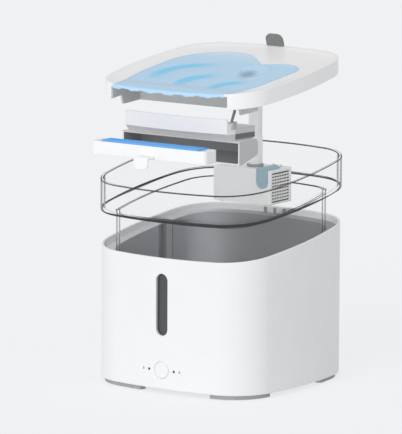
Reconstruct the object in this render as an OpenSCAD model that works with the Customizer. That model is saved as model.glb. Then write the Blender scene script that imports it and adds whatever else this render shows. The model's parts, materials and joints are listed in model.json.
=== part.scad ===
// Square pet water fountain, shown lifted apart: a white base with a dark pocket,
// a clear tank that drops into it, and a drinking tray that carries the filter
// cassette, its housing and the pump. Millimetres, +Z up, front towards -Y,
// origin on the ground under the middle of the base.

/* [Base] */
// Width and depth of the base at the middle of its sides
base_w = 190; // [186:1:196]
// Height of the base rim above the ground at its middle
base_h = 136.5; // [134:0.5:140]
// Slope of the rim, rising to the rear, in degrees
rim_tilt = 7.1; // [6:0.1:8]
// Radius of the four vertical corners
corner_r = 44; // [41:0.5:47]
// Radius of the slightly bulged sides
side_r = 340; // [300:5:500]
// Wall of the outer shell
shell_wall = 2.6; // [2.2:0.1:3]
// Height of the rubber feet under the base
foot_h = 4; // [3:0.5:5]
// Distance of the dark ledge below the rim
ledge_drop = 6; // [5:0.5:8]
// Wall of the dark pocket
pocket_wall = 1.8; // [1.5:0.1:2.2]
// Height of the space for the drive under the pocket
chamber_h = 17; // [15.5:0.5:18]
// Thickness of the bottom cover
cover_t = 2.4; // [2:0.1:3]

/* [Front] */
// Width of the level window
window_w = 12.6; // [11:0.2:14]
// Lowest point of the level window above the ground
window_z0 = 53.3; // [51:0.5:57]
// Height of the level window
window_len = 57; // [50:1:60]
// Diameter of the power button
button_d = 15.2; // [13:0.2:17]
// Height of the button and lamps above the ground
button_z = 21.6; // [20:0.2:23]
// Travel of the button
button_travel = 0.8; // [0.5:0.1:1]
// Distance of each lamp from the button's centre
lamp_x = 13.6; // [12.5:0.1:15]
// Diameter of each lamp
lamp_d = 2.4; // [2:0.1:3]

/* [Tank] */
// Inset of the tank's body from the outline of the base
body_inset = 13.3; // [12.8:0.1:13.8]
// How far the collar stands out past the base
collar_over = 1.2; // [0.8:0.1:1.5]
// Height of the collar
collar_h = 28.5; // [26:0.5:32]
// Wall of the collar
collar_wall = 3; // [2.6:0.1:3.2]
// Wall of the tank's body
tank_wall = 2.5; // [2.2:0.1:2.8]
// Thickness of the tank's floor
tank_floor = 3; // [2.5:0.1:3.5]
// Thickness of the shoulder between body and collar
shoulder_t = 2; // [1.8:0.1:2.4]
// Bevel at the tank's lower edge
tank_bevel = 7; // [5:0.5:9]
// Outer width of the level channel on the tank's front
channel_w = 15.2; // [14.6:0.2:16]
// How far the level channel stands out from the body
channel_d = 7.2; // [6.8:0.1:7.4]
// Height of the tank lifted above its seat
tank_raise = 32; // [20:1:40]

/* [Tray] */
// Gap all round between the drinking tray and the tank's collar
tray_gap = 1.2; // [0.8:0.1:2]
// Height of the tray's skirt
tray_h = 14.4; // [13.5:0.1:16]
// Wall of the skirt and thickness of the deck
tray_wall = 2.4; // [2:0.1:2.6]
// Depth of the dished deck below the rim of the tray
deck_drop = 1.9; // [1.5:0.1:2.2]
// Width of the tray's rim before the deck dips
rim_w = 1.6; // [1.2:0.1:2]
// Depth of the basin's floor below the rim of the tray
basin_depth = 3.4; // [3:0.1:4]
// Distance of the basin from the sides of the tray
basin_margin = 22; // [21:0.2:24]
// Radius of the basin's large lobe
lobe_r = 45.5; // [44:0.5:47]
// Radius of the basin's small lobe
small_lobe_r = 24; // [22:0.5:26]
// Width of the spill lip and of the opening under it
spill_w = 127.4; // [126:0.2:129]
// Width of the pull tab
tab_w = 18.6; // [15:0.2:22]
// Height of the pull tab above the deck
tab_h = 12.5; // [10:0.5:14]
// Height of the tray lifted above its seat in the tank
tray_raise = 103; // [95:1:110]

/* [Filter] */
// Width of the filter cassette
cassette_w = 125.6; // [122:0.2:126.4]
// Depth of the filter cassette
cassette_d = 20; // [18:0.5:22]
// Height of the filter cassette
cassette_h = 11.8; // [10.5:0.1:12.4]
// Wall of the filter cassette
cassette_wall = 2; // [1.6:0.1:2.4]
// Width of the solid ends of the filter cassette
cassette_end = 9; // [8:0.5:10]
// Travel of the cassette out of its housing
cassette_out = 51; // [51:1:56]
// Wall of the filter housing
housing_wall = 1.5; // [1.3:0.1:1.7]
// Depth of the filter housing
housing_d = 30; // [28:0.5:33]
// Height of the mouth of the housing
mouth_h = 18.5; // [18:0.5:20]
// Height of the hopper's ends over the housing
hopper_h = 12; // [11:0.5:14]

/* [Pump] */
// Width of the pump cover
pump_w = 64; // [62:0.5:68]
// Depth of the pump cover
pump_d = 37; // [35:0.5:38]
// Height of the pump cover
pump_h = 31.8; // [30:0.1:33]
// Distance of the pump's middle to the right of the fountain's middle
pump_x = 10; // [8:0.5:12]
// Distance of the pump's middle behind the fountain's middle
pump_y = 36; // [34:0.5:40]
// Number of louvre slots on each end of the pump cover
louvres = 10; // [6:1:10]
// Distance of the riser tube and the impeller to the right of the fountain's middle
riser_x = 13; // [11:0.5:15]
// Outer diameter of the riser tube
riser_d = 12.6; // [12:0.2:14]
// Wall of the riser tube
riser_wall = 1.4; // [1.2:0.1:1.6]
// Diameter of the impeller
impeller_d = 26; // [22:0.5:28]
// Diameter of the impeller's shaft
shaft_d = 2; // [1.6:0.1:2.4]

/* [Fits] */
// Gap round the tank in its pocket
pocket_gap = 0.6; // [0.4:0.1:0.8]
// Gap between a piece and the seat it comes down on
seat_gap = 0.3; // [0.2:0.05:0.4]
// Gap between a piece and the wall it is held in
joint_gap = 0.05; // [0.03:0.01:0.1]
// Gap round the cassette and the button
slide_gap = 0.3; // [0.2:0.05:0.4]
// Radial clearance of the shaft in its bushes
running_gap = 0.05; // [0.03:0.01:0.08]

/* [Hidden] */
$fn = 48;
FAR = 400;
side_steps = 6;
corner_steps = 12;
slope = tan(rim_tilt);
base_half = base_w / 2;
corner_mid = corner_centre(base_half, side_r, corner_r);

// heights, with every piece down on its seat
rim_z = base_h;
ledge_z = rim_z - ledge_drop;
chamber_z1 = foot_h + chamber_h;
tank_z0 = chamber_z1 + pocket_wall + seat_gap;
floor_z = tank_z0 + tank_floor;
collar_z0 = rim_z + seat_gap;
shoulder_z1 = collar_z0 + shoulder_t;
collar_z1 = collar_z0 + collar_h;
skirt_z0 = shoulder_z1 + seat_gap;
tray_z1 = skirt_z0 + tray_h;
deck_z1 = tray_z1 - deck_drop;
deck_z0 = deck_z1 - tray_wall;
basin_z = tray_z1 - basin_depth;
basin_z0 = basin_z - tray_wall;

// insets from the outline of the base
pocket_in = body_inset - pocket_gap;
pocket_out = pocket_in - pocket_wall;
body_in = body_inset + tank_wall;
tower_inset = body_in + 0.6;

// studs on the rear ledge that the tank's shoulder comes down on
stud_r = 1.5;
stud_x = [-10.6, 0, 10.6];
stud_y = base_half - pocket_out + 4.2;
stud_z1 = rim_z + (stud_y - stud_r) * slope;

// level channel, in the front wall of tank and pocket
channel_y = -(base_half - body_inset + channel_d);
bay_w = channel_w + 2 * pocket_gap;
bay_y = channel_y - pocket_gap;
bay_wall = 1.5;
bay_z0 = window_z0 - 5;
window_t = 1.4;
bezel_w = 1.6;

// tray
tray_in = collar_wall - collar_over + tray_gap;
tray_half = base_half - tray_in;
basin_half = tray_half - basin_margin;
lobe = [-(basin_half - lobe_r), 16];
small_lobe = [basin_half + 1.5 - small_lobe_r, 12.5];
notch = small_lobe + [-23, 16];
lip_half = spill_w / 2 - 2.7;
lip_y = 12 - tray_half;
lip_run = 22;
lip_z = tray_z1 - 0.6;
lip_z0 = lip_z - 1.6;
hood_x = spill_w / 2;
hood_wall = 2;
hood_y1 = -38;
hood_z0 = basin_z0 - 25.6;
// where the hood's cheeks clear the tank's shoulder
cheek_y = -corner_y(hood_x + hood_wall, tower_inset);
outlet = [32, -5];
outlet_r = 5;
tab_x = -1.6;
tab_y = tray_half - 0.4;
tab_t = 2.6;

// filter housing, hopper and cassette
housing_y0 = -66;
housing_y1 = housing_y0 + housing_d;
housing_half = cassette_w / 2 + slide_gap + housing_wall;
mouth_z0 = basin_z0 - 69.9;
mouth_z1 = mouth_z0 + mouth_h;
housing_z1 = mouth_z1 + housing_wall;
cassette_z0 = mouth_z0 + 4.9;
cassette_round = 4;
// the sponge stands proud of the cassette and still passes the mouth
sponge_z1 = min(cassette_z0 + cassette_h + 1.3, mouth_z1 - 0.5);
hopper_z0 = housing_z1 + joint_gap;
hopper_z1 = hopper_z0 + hopper_h;
hopper_y0 = -73.4;
hopper_y1 = housing_y1 - 1.5;
hopper_x0 = 56;
hopper_x1 = 62;
hopper_wall = 1.8;
hopper_toe = housing_y0 + 1.2;
hopper_heel = hopper_z0 + hopper_wall;
slot_pitch = 14;
slot_w = 10;
slot_y0 = housing_y0 + 8;
slot_y1 = slot_y0 + 14;
hopper_flat = slot_y1 + 2;
slot_xs = [for (i = [-3.5:3.5]) i * slot_pitch];
drain_xs = [for (i = [-1.5:1.5]) i * slot_pitch];
apron_z0 = hopper_z0 + 6.8;
apron_z1 = hopper_z1 + 8.4;
clip_y0 = -68.3;
clip_y1 = -60;
clip_t = 2.4;
tongue_w = 15.6;
tongue_len = 11;

// pump
foot_t = 1.2;
pump_z0 = floor_z + foot_t;
latch_in = 8.2;
pump_z1 = pump_z0 + pump_h;
pump_wall = 1.8;
riser_r = riser_d / 2;
duct_r = riser_r + 2.6;
volute_r = impeller_d / 2 + 3;
volute_h = 15;
pump_round = 2.8;
plate_t = 1.6;
bush_r = 2.4;
bush_h = 2.5;
shaft_r = shaft_d / 2;
impeller_z = pump_z0 + plate_t + bush_h + 0.4;
riser_z0 = pump_z1 - 3;
riser_z1 = basin_z0 + pump_y * slope - 2.5;

// front electronics
wall_y = base_half - shell_wall;
board_y = wall_y - 4.2;
board_t = 1.6;
board_w = 56;
board_z0 = foot_h + cover_t + 1;
board_z1 = button_z + 12;
flange_t = 1.2;
boss_inset = shell_wall + 11;
boss_mid = diagonal(boss_inset);
foot_in = shell_wall + 0.6;
foot_w = 6;
foot_sink = 0.8;
foot_span = 32;
foot_starts = [-138, -61, 20, 124];
latch_x = pump_x + pump_w / 2 - latch_in;
latch_w = 12.2;
latch_t = 1.6;
latch_gap = 0.3;

/* ---- outlines ---- */

// Distance from the middle to the centre of a corner arc that runs smoothly into
// side arcs of radius side, for an outline half wide
function corner_centre(half, side, corner) =
  (half - side + sqrt(2 * pow(side - corner, 2) - pow(side - half, 2))) / 2;

// Points on an arc round a centre, from angle a0 to a1
function arc(centre, r, a0, a1, steps) =
  [for (i = [0:steps]) centre + r * [cos(a0 + (a1 - a0) * i / steps), sin(a0 + (a1 - a0) * i / steps)]];

function turned(p, k) = k == 0 ? p : turned([-p[1], p[0]], k - 1);

// Outline of a square with bulged sides and round corners
function soft_square(half, side, corner) =
  let (mid = corner_centre(half, side, corner), reach = atan2(mid, mid + side - half))
  [for (k = [0:3]) each
    [for (p = concat(
        arc([0, side - half], side, -90 - reach, -90 + reach, side_steps),
        arc([mid, -mid], corner, -90 + reach + (90 - 2 * reach) / corner_steps,
            -reach - (90 - 2 * reach) / corner_steps, corner_steps - 2)))
      turned(p, k)]];

// Outline of the base, moved in by inset
function outline(inset) = soft_square(base_half - inset, side_r - inset, corner_r - inset);

// Where the outline crosses the corner's diagonal
function diagonal(inset) = corner_mid + (corner_r - inset) * cos(45);

// Front of the outline of the base, at a distance x from the middle
function front_y(x, inset = 0) = side_r - base_half - sqrt(pow(side_r - inset, 2) - x * x);

// Distance of the outline from the middle, at a distance x that lies in its corner
function corner_y(x, inset) = corner_mid + sqrt(pow(corner_r - inset, 2) - pow(x - corner_mid, 2));

// The tray keeps the same distance from the collar all round
function tray_outline(inset) = outline(tray_in + inset);

// Outline of the basin: two lobes at the rear that meet in a notch, and sides
// that draw in to the spill lip
function basin_outline(grow) = concat(
  [[lip_half + grow, -tray_half - 5], [lip_half + grow, -80], [basin_half - 3 + grow, -64],
   [basin_half + grow, -46]],
  arc(small_lobe, small_lobe_r + grow, 0, 122, 12),
  [notch + grow * [0.4, 0.9]],
  arc(lobe, lobe_r + grow, 62, 180, 16),
  [[-basin_half - grow, -26], [3 - basin_half - grow, -50], [-lip_half - grow, -76],
   [-lip_half - grow, -tray_half - 5]]);

/* ---- building blocks ---- */

module prism(inset, z0, z1) {
  translate([0, 0, z0]) linear_extrude(z1 - z0) polygon(outline(inset));
}

// All that lies between two planes that slope with the rim
module slab(z0, z1) {
  rise = FAR * slope;
  rotate([90, 0, 90]) linear_extrude(2 * FAR, center = true)
    polygon([[-FAR, z0 - rise], [FAR, z0 + rise], [FAR, z1 + rise], [-FAR, z1 - rise]]);
}

module box(x0, x1, y0, y1, z0, z1) {
  translate([x0, y0, z0]) cube([x1 - x0, y1 - y0, z1 - z0]);
}

// Upright stadium, w wide and len high, pushed back from y0 to y1
module stadium(w, len, z0, y0, y1) {
  translate([0, y1, 0]) rotate([90, 0, 0]) linear_extrude(y1 - y0) union() {
    translate([0, z0 + w / 2]) circle(d = w);
    translate([0, z0 + len - w / 2]) circle(d = w);
    translate([-w / 2, z0 + w / 2]) square([w, len - w]);
  }
}

// Cylinder whose axis runs to the rear, from y0 to y1
module rod_y(r, y0, y1, x, z) {
  translate([x, y1, z]) rotate([90, 0, 0]) cylinder(r = r, h = y1 - y0);
}

module rod(r, z0, z1, x = 0, y = 0) {
  translate([x, y, z0]) cylinder(r = r, h = z1 - z0);
}

// Plate with round upright corners
module round_plate(x0, x1, y0, y1, z0, z1, r) {
  translate([0, 0, z0]) linear_extrude(z1 - z0) union() {
    translate([x0 + r, y0]) square([x1 - x0 - 2 * r, y1 - y0]);
    translate([x0, y0 + r]) square([x1 - x0, y1 - y0 - 2 * r]);
    for (x = [x0 + r, x1 - r], y = [y0 + r, y1 - r]) translate([x, y]) circle(r = r);
  }
}

module four_corners() {
  for (k = [0:3]) rotate(90 * k) children();
}

module on_tank() { translate([0, 0, tank_raise]) children(); }
module on_tray() { translate([0, 0, tank_raise + tray_raise]) children(); }

/* ---- base ---- */

module outer_shell() color("white") {
  difference() {
    union() {
      intersection() {
        difference() {
          prism(0, foot_h, FAR);
          prism(shell_wall, 0, FAR + 1);
        }
        slab(-FAR, rim_z);
      }
      four_corners() rod(4, foot_h + cover_t + joint_gap, foot_h + 14, boss_mid, boss_mid);
      four_corners() rotate(45) box(boss_mid * sqrt(2), diagonal(shell_wall - 0.6) * sqrt(2), -1, 1,
        foot_h + cover_t + joint_gap, foot_h + 14);
      for (x = [-board_w / 2 + 5, board_w / 2 - 5])
        rod_y(2.6, -wall_y - 0.6, -board_y - joint_gap, x, button_z - 9);
    }
    stadium(window_w, window_len, window_z0, -base_half - 1, -wall_y + 1);
    rod_y(button_d / 2 + slide_gap, -base_half - 1, -wall_y + 1, 0, button_z);
    for (x = [-lamp_x, lamp_x])
      rod_y(lamp_d / 2 + joint_gap, -base_half - 1, -wall_y + 2, x, button_z);
    for (x = [-board_w / 2 + 5, board_w / 2 - 5])
      rod_y(0.9, -wall_y + 1.6, -board_y, x, button_z - 9);
    four_corners() rod(1.3, 0, foot_h + 12, boss_mid, boss_mid);
    rod_y(4.2, wall_y - 1, base_half + 1, 0, foot_h + 10);
  }
}

// Dark liner that the tank stands in, with a bay for the level channel
module inner_pocket() color("dimgray") {
  difference() {
    union() {
      intersection() {
        prism(shell_wall + joint_gap, foot_h, FAR);
        slab(ledge_z - pocket_wall, ledge_z);
      }
      intersection() {
        union() {
          prism(pocket_out, chamber_z1, FAR);
          box(-bay_w / 2 - bay_wall, bay_w / 2 + bay_wall, bay_y - bay_wall,
              -base_half + pocket_in + 4, bay_z0, FAR);
        }
        slab(-FAR, ledge_z - 0.5);
      }
      for (x = stud_x) rod(stud_r, ledge_z + stud_y * slope - 1, stud_z1, x, stud_y);
    }
    prism(pocket_in, chamber_z1 + pocket_wall, FAR);
    box(-bay_w / 2, bay_w / 2, bay_y, 0, bay_z0 + bay_wall, FAR);
    stadium(window_w + 2, window_len + 2, window_z0 - 1, bay_y - bay_wall - 1, bay_y + 1);
  }
}

module bottom_cover() color("gainsboro") {
  difference() {
    union() {
      prism(shell_wall + joint_gap, foot_h, foot_h + cover_t);
      rod(10, foot_h + cover_t - 0.5, foot_h + 6, riser_x, pump_y);
      for (x = [-board_w / 4, board_w / 4])
        box(x - 3, x + 3, -board_y - 3, -board_y + 5, foot_h + 1, board_z0 - joint_gap);
    }
    four_corners() rod(1.7, 0, foot_h + 12, boss_mid, boss_mid);
    four_corners() rod(3.2, 0, foot_h + 1.2, boss_mid, boss_mid);
    foot_arcs(foot_h - 1, foot_h + foot_sink);
  }
}

// Curved strip under the edge of the base, between two directions from the middle
module foot_arc(a0, a1, z0, z1) {
  translate([0, 0, z0]) linear_extrude(z1 - z0) difference() {
    intersection() {
      polygon(outline(foot_in));
      polygon([[0, 0], FAR * [cos(a0), sin(a0)], FAR * [cos(a1), sin(a1)]]);
    }
    polygon(outline(foot_in + foot_w));
  }
}

module foot_arcs(z0, z1) {
  for (a = foot_starts) foot_arc(a, a + foot_span, z0, z1);
}

module rubber_feet() color("gray") {
  foot_arcs(0, foot_h + foot_sink - joint_gap);
}

module cover_screws() color("silver") {
  four_corners() union() {
    rod(3, foot_h + 0.1, foot_h + 1.2 - joint_gap, boss_mid, boss_mid);
    rod(1.25, foot_h + 1, foot_h + 10, boss_mid, boss_mid);
  }
}

// Grey ring between the shell and the pocket, round the level window
module window_bezel() color("gray") {
  y0 = -wall_y + joint_gap;
  y1 = bay_y - bay_wall - joint_gap;
  difference() {
    intersection() {
      stadium(window_w + 2 * bezel_w, window_len + 2 * bezel_w, window_z0 - bezel_w, -FAR, y1);
      prism(shell_wall + joint_gap, 0, FAR);
    }
    stadium(window_w, window_len, window_z0, -FAR - 1, y1 + 1);
  }
}

module level_window() color([0.25, 0.27, 0.28, 0.8]) {
  stadium(window_w + 2 - 2 * joint_gap, window_len + 2 - 2 * joint_gap,
          window_z0 - 1 + joint_gap, bay_y - bay_wall, bay_y - bay_wall + window_t);
}

/* ---- controls and drive ---- */

module power_button() color("white") {
  union() {
    rod_y(button_d / 2, -base_half, -wall_y + 1, 0, button_z);
    intersection() {
      rod_y(button_d / 2 + 1.4, -wall_y + 0.3, -wall_y + 0.3 + flange_t, 0, button_z);
      prism(shell_wall + 0.2, 0, FAR);
    }
  }
}

module touch_switch() color("black") {
  size = 6;
  face = -wall_y + 0.3 + flange_t + button_travel + 0.1;
  union() {
    box(-size / 2, size / 2, face + 0.6, -board_y - joint_gap, button_z - size / 2, button_z + size / 2);
    rod_y(1.7, face, face + 1, 0, button_z);
  }
}

module control_board() color("darkgreen") {
  difference() {
    box(-board_w / 2, board_w / 2, -board_y, -board_y + board_t, board_z0, board_z1);
    for (x = [-board_w / 2 + 5, board_w / 2 - 5])
      rod_y(1.2, -board_y - 1, -board_y + board_t + 1, x, button_z - 9);
  }
}

module board_screws() color("silver") {
  for (x = [-board_w / 2 + 5, board_w / 2 - 5]) union() {
    rod_y(2.1, -board_y + board_t + joint_gap, -board_y + board_t + 1.3, x, button_z - 9);
    rod_y(0.8, -wall_y + 2, -board_y + board_t + 0.5, x, button_z - 9);
  }
}

// Light guides from the board to the two lamps in the shell
module lamp_pipes() color("lightcyan") {
  for (x = [-lamp_x, lamp_x])
    rod_y(lamp_d / 2, front_y(x) + 0.15, -board_y - joint_gap, x, button_z);
}

module power_socket() color("black") {
  z = foot_h + 10;
  difference() {
    union() {
      rod_y(4.1, wall_y - 2, base_half - 0.4, 0, z);
      box(-6, 6, wall_y - 13, wall_y - 0.8, foot_h + cover_t + joint_gap, z + 5);
    }
    rod_y(2.8, wall_y - 9, base_half + 1, 0, z);
  }
}

module drive_coil() color("peru") {
  difference() {
    rod(16, foot_h + 6 + 1.5, chamber_z1 - 1, riser_x, pump_y);
    rod(6, foot_h, chamber_z1, riser_x, pump_y);
  }
}

module coil_core() color("dimgray") {
  union() {
    rod(17, foot_h + 6 + joint_gap, foot_h + 6 + 1.4, riser_x, pump_y);
    rod(5.8, foot_h + 7, chamber_z1 - 0.6, riser_x, pump_y);
  }
}

/* ---- tank ---- */

// Body of the tank with a bevelled lower edge, from z0 up
module tank_body(inset, z0, bevel) {
  union() {
    hull() {
      prism(inset + bevel, z0, z0 + 0.1);
      prism(inset, z0 + bevel, z0 + bevel + 0.1);
    }
    prism(inset, z0 + bevel, FAR);
  }
}

module channel_block(inset, z0) {
  box(-channel_w / 2 + inset, channel_w / 2 - inset, channel_y + inset,
      -base_half + body_inset + 5, z0 + inset, FAR);
}

module water_tank() color([0.75, 0.8, 0.85, 0.45]) on_tank() {
  channel_z0 = window_z0 - 2;
  difference() {
    union() {
      intersection() {
        prism(-collar_over, 0, FAR);
        slab(collar_z0, collar_z1);
      }
      intersection() {
        union() {
          tank_body(body_inset, tank_z0, tank_bevel);
          channel_block(0, channel_z0);
        }
        slab(-FAR, collar_z0 + 0.5);
      }
    }
    intersection() {
      prism(collar_wall - collar_over, 0, FAR + 1);
      slab(shoulder_z1, FAR);
    }
    tank_body(body_in, floor_z, tank_bevel);
    channel_block(1.6, channel_z0);
  }
}

// Clip that closes the top of the level channel over the float
module channel_cap() color("gray") on_tank() {
  inner = channel_w / 2 - 1.6 - joint_gap;
  y0 = channel_y + 1.6 + joint_gap;
  z = shoulder_z1 - base_half * slope - 2;
  difference() {
    box(-inner, inner, y0, y0 + channel_d - 2.2, z, z + 2);
    rod(1.6, z - 1, z + 3, 0, y0 + 2.6);
  }
}

module level_float() color("tomato") on_tank() {
  half = channel_w / 2 - 1.6 - 0.5;
  y0 = channel_y + 1.6 + 0.4;
  z = window_z0 + 1;
  round_plate(-half, half, y0, y0 + channel_d - 3, z, z + 7, 1.5);
}

/* ---- tray ---- */

// Air over the deck, which dips steeply behind the rim and gently further in
module dish() {
  hull() for (step = [[rim_w, 0], [rim_w + 3.4, 0.5], [rim_w + 10, 0.86], [basin_margin, 1]])
    intersection() {
      linear_extrude(FAR) polygon(tray_outline(step[0]));
      slab(tray_z1 - step[1] * deck_drop, tray_z1 + 1);
    }
}

// All above a surface that lies at height low in the basin and rises to height
// lip at the front
module over_floor(lip, low) {
  run_y = lip_y + lip_run;
  rotate([90, 0, 90]) linear_extrude(2 * FAR, center = true) polygon([
    [-FAR, slab_z(lip, -FAR)], [lip_y, slab_z(lip, lip_y)], [run_y, slab_z(low, run_y)],
    [FAR, slab_z(low, FAR)], [FAR, 2 * FAR], [-FAR, 2 * FAR]]);
}

module drinking_tray() color("white") on_tray() {
  boss_z0 = riser_z1 - 3;
  difference() {
    union() {
      intersection() {
        linear_extrude(FAR) polygon(tray_outline(0));
        slab(deck_z0, tray_z1);
      }
      intersection() {
        linear_extrude(FAR) difference() {
          polygon(tray_outline(0));
          polygon(tray_outline(tray_wall));
        }
        slab(skirt_z0, tray_z1);
      }
      intersection() {
        linear_extrude(FAR) intersection() {
          polygon(tray_outline(0));
          union() {
            polygon(basin_outline(tray_wall));
            duct_plan(duct_r);
          }
        }
        over_floor(lip_z0, basin_z0);
        slab(-FAR, deck_z0 + 1);
      }
    }
    dish();
    intersection() {
      linear_extrude(FAR) polygon(basin_outline(0));
      over_floor(lip_z, basin_z);
    }
    difference() {
      box(-hood_x, hood_x, -tray_half - 1, lip_y + 2, 0, FAR);
      over_floor(lip_z0, basin_z0);
    }
    rod(outlet_r, boss_z0, FAR, outlet[0], outlet[1]);
  }
}

// Tab on the rear rim, leaning forwards, whose root fills the dish behind the rim
module pull_tab() color("gray") on_tray() {
  root_z = tray_z1 + tab_y * slope - 0.3;
  corner = 6;
  intersection() {
    translate([tab_x, tab_y, root_z]) rotate([110, 0, 0]) linear_extrude(tab_t) union() {
      translate([-tab_w / 2, 0]) square([tab_w, tab_h - corner]);
      translate([-tab_w / 2 + corner, 0]) square([tab_w - 2 * corner, tab_h]);
      for (x = [-tab_w / 2 + corner, tab_w / 2 - corner]) translate([x, tab_h - corner]) circle(r = corner);
    }
    union() {
      slab(tray_z1 + joint_gap, FAR);
      translate([0, 0, joint_gap]) dish();
    }
  }
}

// Channel under the basin that brings water from the riser to the outlet
module outlet_duct() color("lightgray") on_tray() {
  difference() {
    duct_block(duct_r, -9, 0);
    duct_block(duct_r - 1.6, -7.4, 5);
    rod(riser_r + joint_gap, 0, FAR, riser_x, pump_y);
  }
}

// Stadium in plan from the riser to the outlet
module duct_plan(r) {
  run = outlet - [riser_x, pump_y];
  side = r / norm(run) * [-run[1], run[0]];
  union() {
    translate([riser_x, pump_y]) circle(r = r);
    translate(outlet) circle(r = r);
    polygon([[riser_x, pump_y] + side, [riser_x, pump_y] - side, outlet - side, outlet + side]);
  }
}

// Duct between planes z0 and z1 above the underside of the basin
module duct_block(r, z0, z1) {
  intersection() {
    linear_extrude(FAR) duct_plan(r);
    slab(basin_z0 - joint_gap + z0, basin_z0 - joint_gap + z1);
  }
}

// Cheeks and rear wall under the spill lip
module flow_hood() color("darkgray") on_tray() {
  y0 = -tray_half;
  rear = hood_y1;
  top = basin_z0 - joint_gap;
  front_top = deck_z0 - joint_gap;
  bend = lip_y + lip_run * (deck_z0 - lip_z0) / (basin_z0 - lip_z0);
  for (s = [-1, 1]) intersection() {
    translate([s < 0 ? -hood_x - hood_wall : hood_x, 0, 0]) rotate([90, 0, 90])
      linear_extrude(hood_wall) polygon([
        [y0, slab_z(skirt_z0, y0)], [cheek_y, slab_z(skirt_z0, cheek_y)],
        [cheek_y + 2.4, hood_z0], [rear, hood_z0 + 1.2], [rear, slab_z(top, rear)],
        [lip_y + lip_run, slab_z(top, lip_y + lip_run)], [bend, slab_z(front_top, bend)],
        [y0, slab_z(front_top, y0)]]);
    linear_extrude(FAR) polygon(tray_outline(tray_wall + joint_gap));
  }
  intersection() {
    box(-hood_x - 0.5, hood_x + 0.5, rear - hood_wall, rear, hood_z0 + 1.2, FAR);
    slab(-FAR, top);
  }
}

function slab_z(z, y) = z + y * slope;

// Row of water slots, from y0 to y1 and from z0 to z1
module slots(xs, y0, y1, z0, z1) {
  for (x = xs) box(x - slot_w / 2, x + slot_w / 2, y0, y1, z0, z1);
}

// Open box that gathers the water over the filter, with a high front wall
module hopper() color("gainsboro") on_tray() {
  difference() {
    intersection() {
      prism(tower_inset, hopper_z0, apron_z1);
      hopper_plan(0, hopper_z0, apron_z1);
      rotate([90, 0, 90]) linear_extrude(2 * FAR, center = true) polygon([
        [-FAR, apron_z0], [hopper_y0, apron_z0], [hopper_toe, hopper_z0], [hopper_flat, hopper_z0],
        [hopper_y1, hopper_z0 + 2],
        [hopper_y1, hopper_z1], [clip_y1, hopper_z1], [clip_y0, hopper_z1 + 4.2],
        [hopper_y0 + hopper_wall, hopper_z1 + 4.2], [hopper_y0 + hopper_wall, apron_z1],
        [-FAR, apron_z1]]);
    }
    intersection() {
      prism(tower_inset + hopper_wall, hopper_z0, FAR);
      hopper_plan(hopper_wall, 0, FAR);
      rotate([90, 0, 90]) linear_extrude(2 * FAR, center = true) polygon([
        [-FAR, FAR], [-FAR, apron_z0 + 2.4], [hopper_y0 + 1, apron_z0 + 2.4],
        [hopper_toe + 0.8, hopper_heel], [hopper_flat, hopper_heel], [hopper_y1, hopper_heel + 2],
        [hopper_y1, FAR]]);
    }
    slots(slot_xs, slot_y0, slot_y1 + 2, 0, FAR);
    box(hopper_x0 - clip_t - joint_gap, FAR, clip_y0 - joint_gap, clip_y1 - 0.4 + joint_gap,
        hopper_z1 - 1.4 - joint_gap, FAR);
  }
}

// Plan of the hopper, narrower at its front than at its rear
module hopper_plan(inset, z0, z1) {
  y0 = -FAR;
  y1 = hopper_y1 - inset;
  lean = (hopper_x1 - hopper_x0) / (hopper_y1 - hopper_y0);
  x0 = hopper_x0 - inset + (y0 - hopper_y0) * lean;
  x1 = hopper_x0 - inset + (y1 - hopper_y0) * lean;
  translate([0, 0, z0]) linear_extrude(z1 - z0)
    polygon([[-x0, y0], [x0, y0], [x1, y1], [-x1, y1]]);
}

// Clip that locks the hopper's right end to the hood's stay
module hopper_clip() color("silver") on_tray() {
  box(hopper_x0 - clip_t, hopper_x0 + clip_t, clip_y0, clip_y1 - 0.4, hopper_z1 - 1.4, hopper_z1 + 5.4);
}

// Arm from the hood's right cheek down to the clip
module hopper_stay() color("dimgray") on_tray() {
  hull() {
    box(hopper_x0 - 0.2, hopper_x0 + 1.4, clip_y0 + 0.4, clip_y0 + 2.4, hopper_z1 + 5.4 + joint_gap,
        hopper_z1 + 6);
    box(hood_x - hood_wall - 1.6, hood_x - hood_wall - joint_gap, clip_y0 - 1, clip_y0 + 1,
        hood_z0 + 3, hood_z0 + 5);
  }
}

/* ---- filter ---- */

module filter_housing() color("white") on_tray() {
  inner = housing_half - housing_wall;
  lip = 1;
  difference() {
    rotate([90, 0, 90]) linear_extrude(2 * housing_half, center = true) polygon([
      [housing_y0, mouth_z0 - housing_wall], [housing_y0 + 4, mouth_z0 - housing_wall],
      [housing_y1 - 2, mouth_z0 + 4.8], [housing_y1, mouth_z0 + 7.8],
      [housing_y1, housing_z1 - 3.4], [housing_y1 - 2.4, housing_z1], [housing_y0, housing_z1]]);
    intersection() {
      box(-inner, inner, housing_y0 - 1, housing_y1 - housing_wall, mouth_z0, mouth_z1);
      rotate([90, 0, 90]) linear_extrude(2 * FAR, center = true) polygon([
        [-FAR, mouth_z0], [housing_y0 + 4.5, mouth_z0], [housing_y1 - 2.6, mouth_z0 + 6.2],
        [housing_y1 - housing_wall, mouth_z0 + 8.6], [housing_y1 - housing_wall, mouth_z1 - 2.2],
        [housing_y1 - 3.4, mouth_z1], [-FAR, FAR]]);
    }
    slots(slot_xs, slot_y0, slot_y1, mouth_z1 - 1, FAR);
    slots(drain_xs, slot_y0 - 2, slot_y1 - 4, 0, mouth_z0 + 6);
  }
  for (s = [-1, 1]) box(s < 0 ? -inner - 0.1 : inner - lip, s < 0 ? -inner + lip : inner + 0.1,
    housing_y0 + 1, housing_y1 - 3, cassette_z0 - 1.4, cassette_z0 - slide_gap);
}

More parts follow.
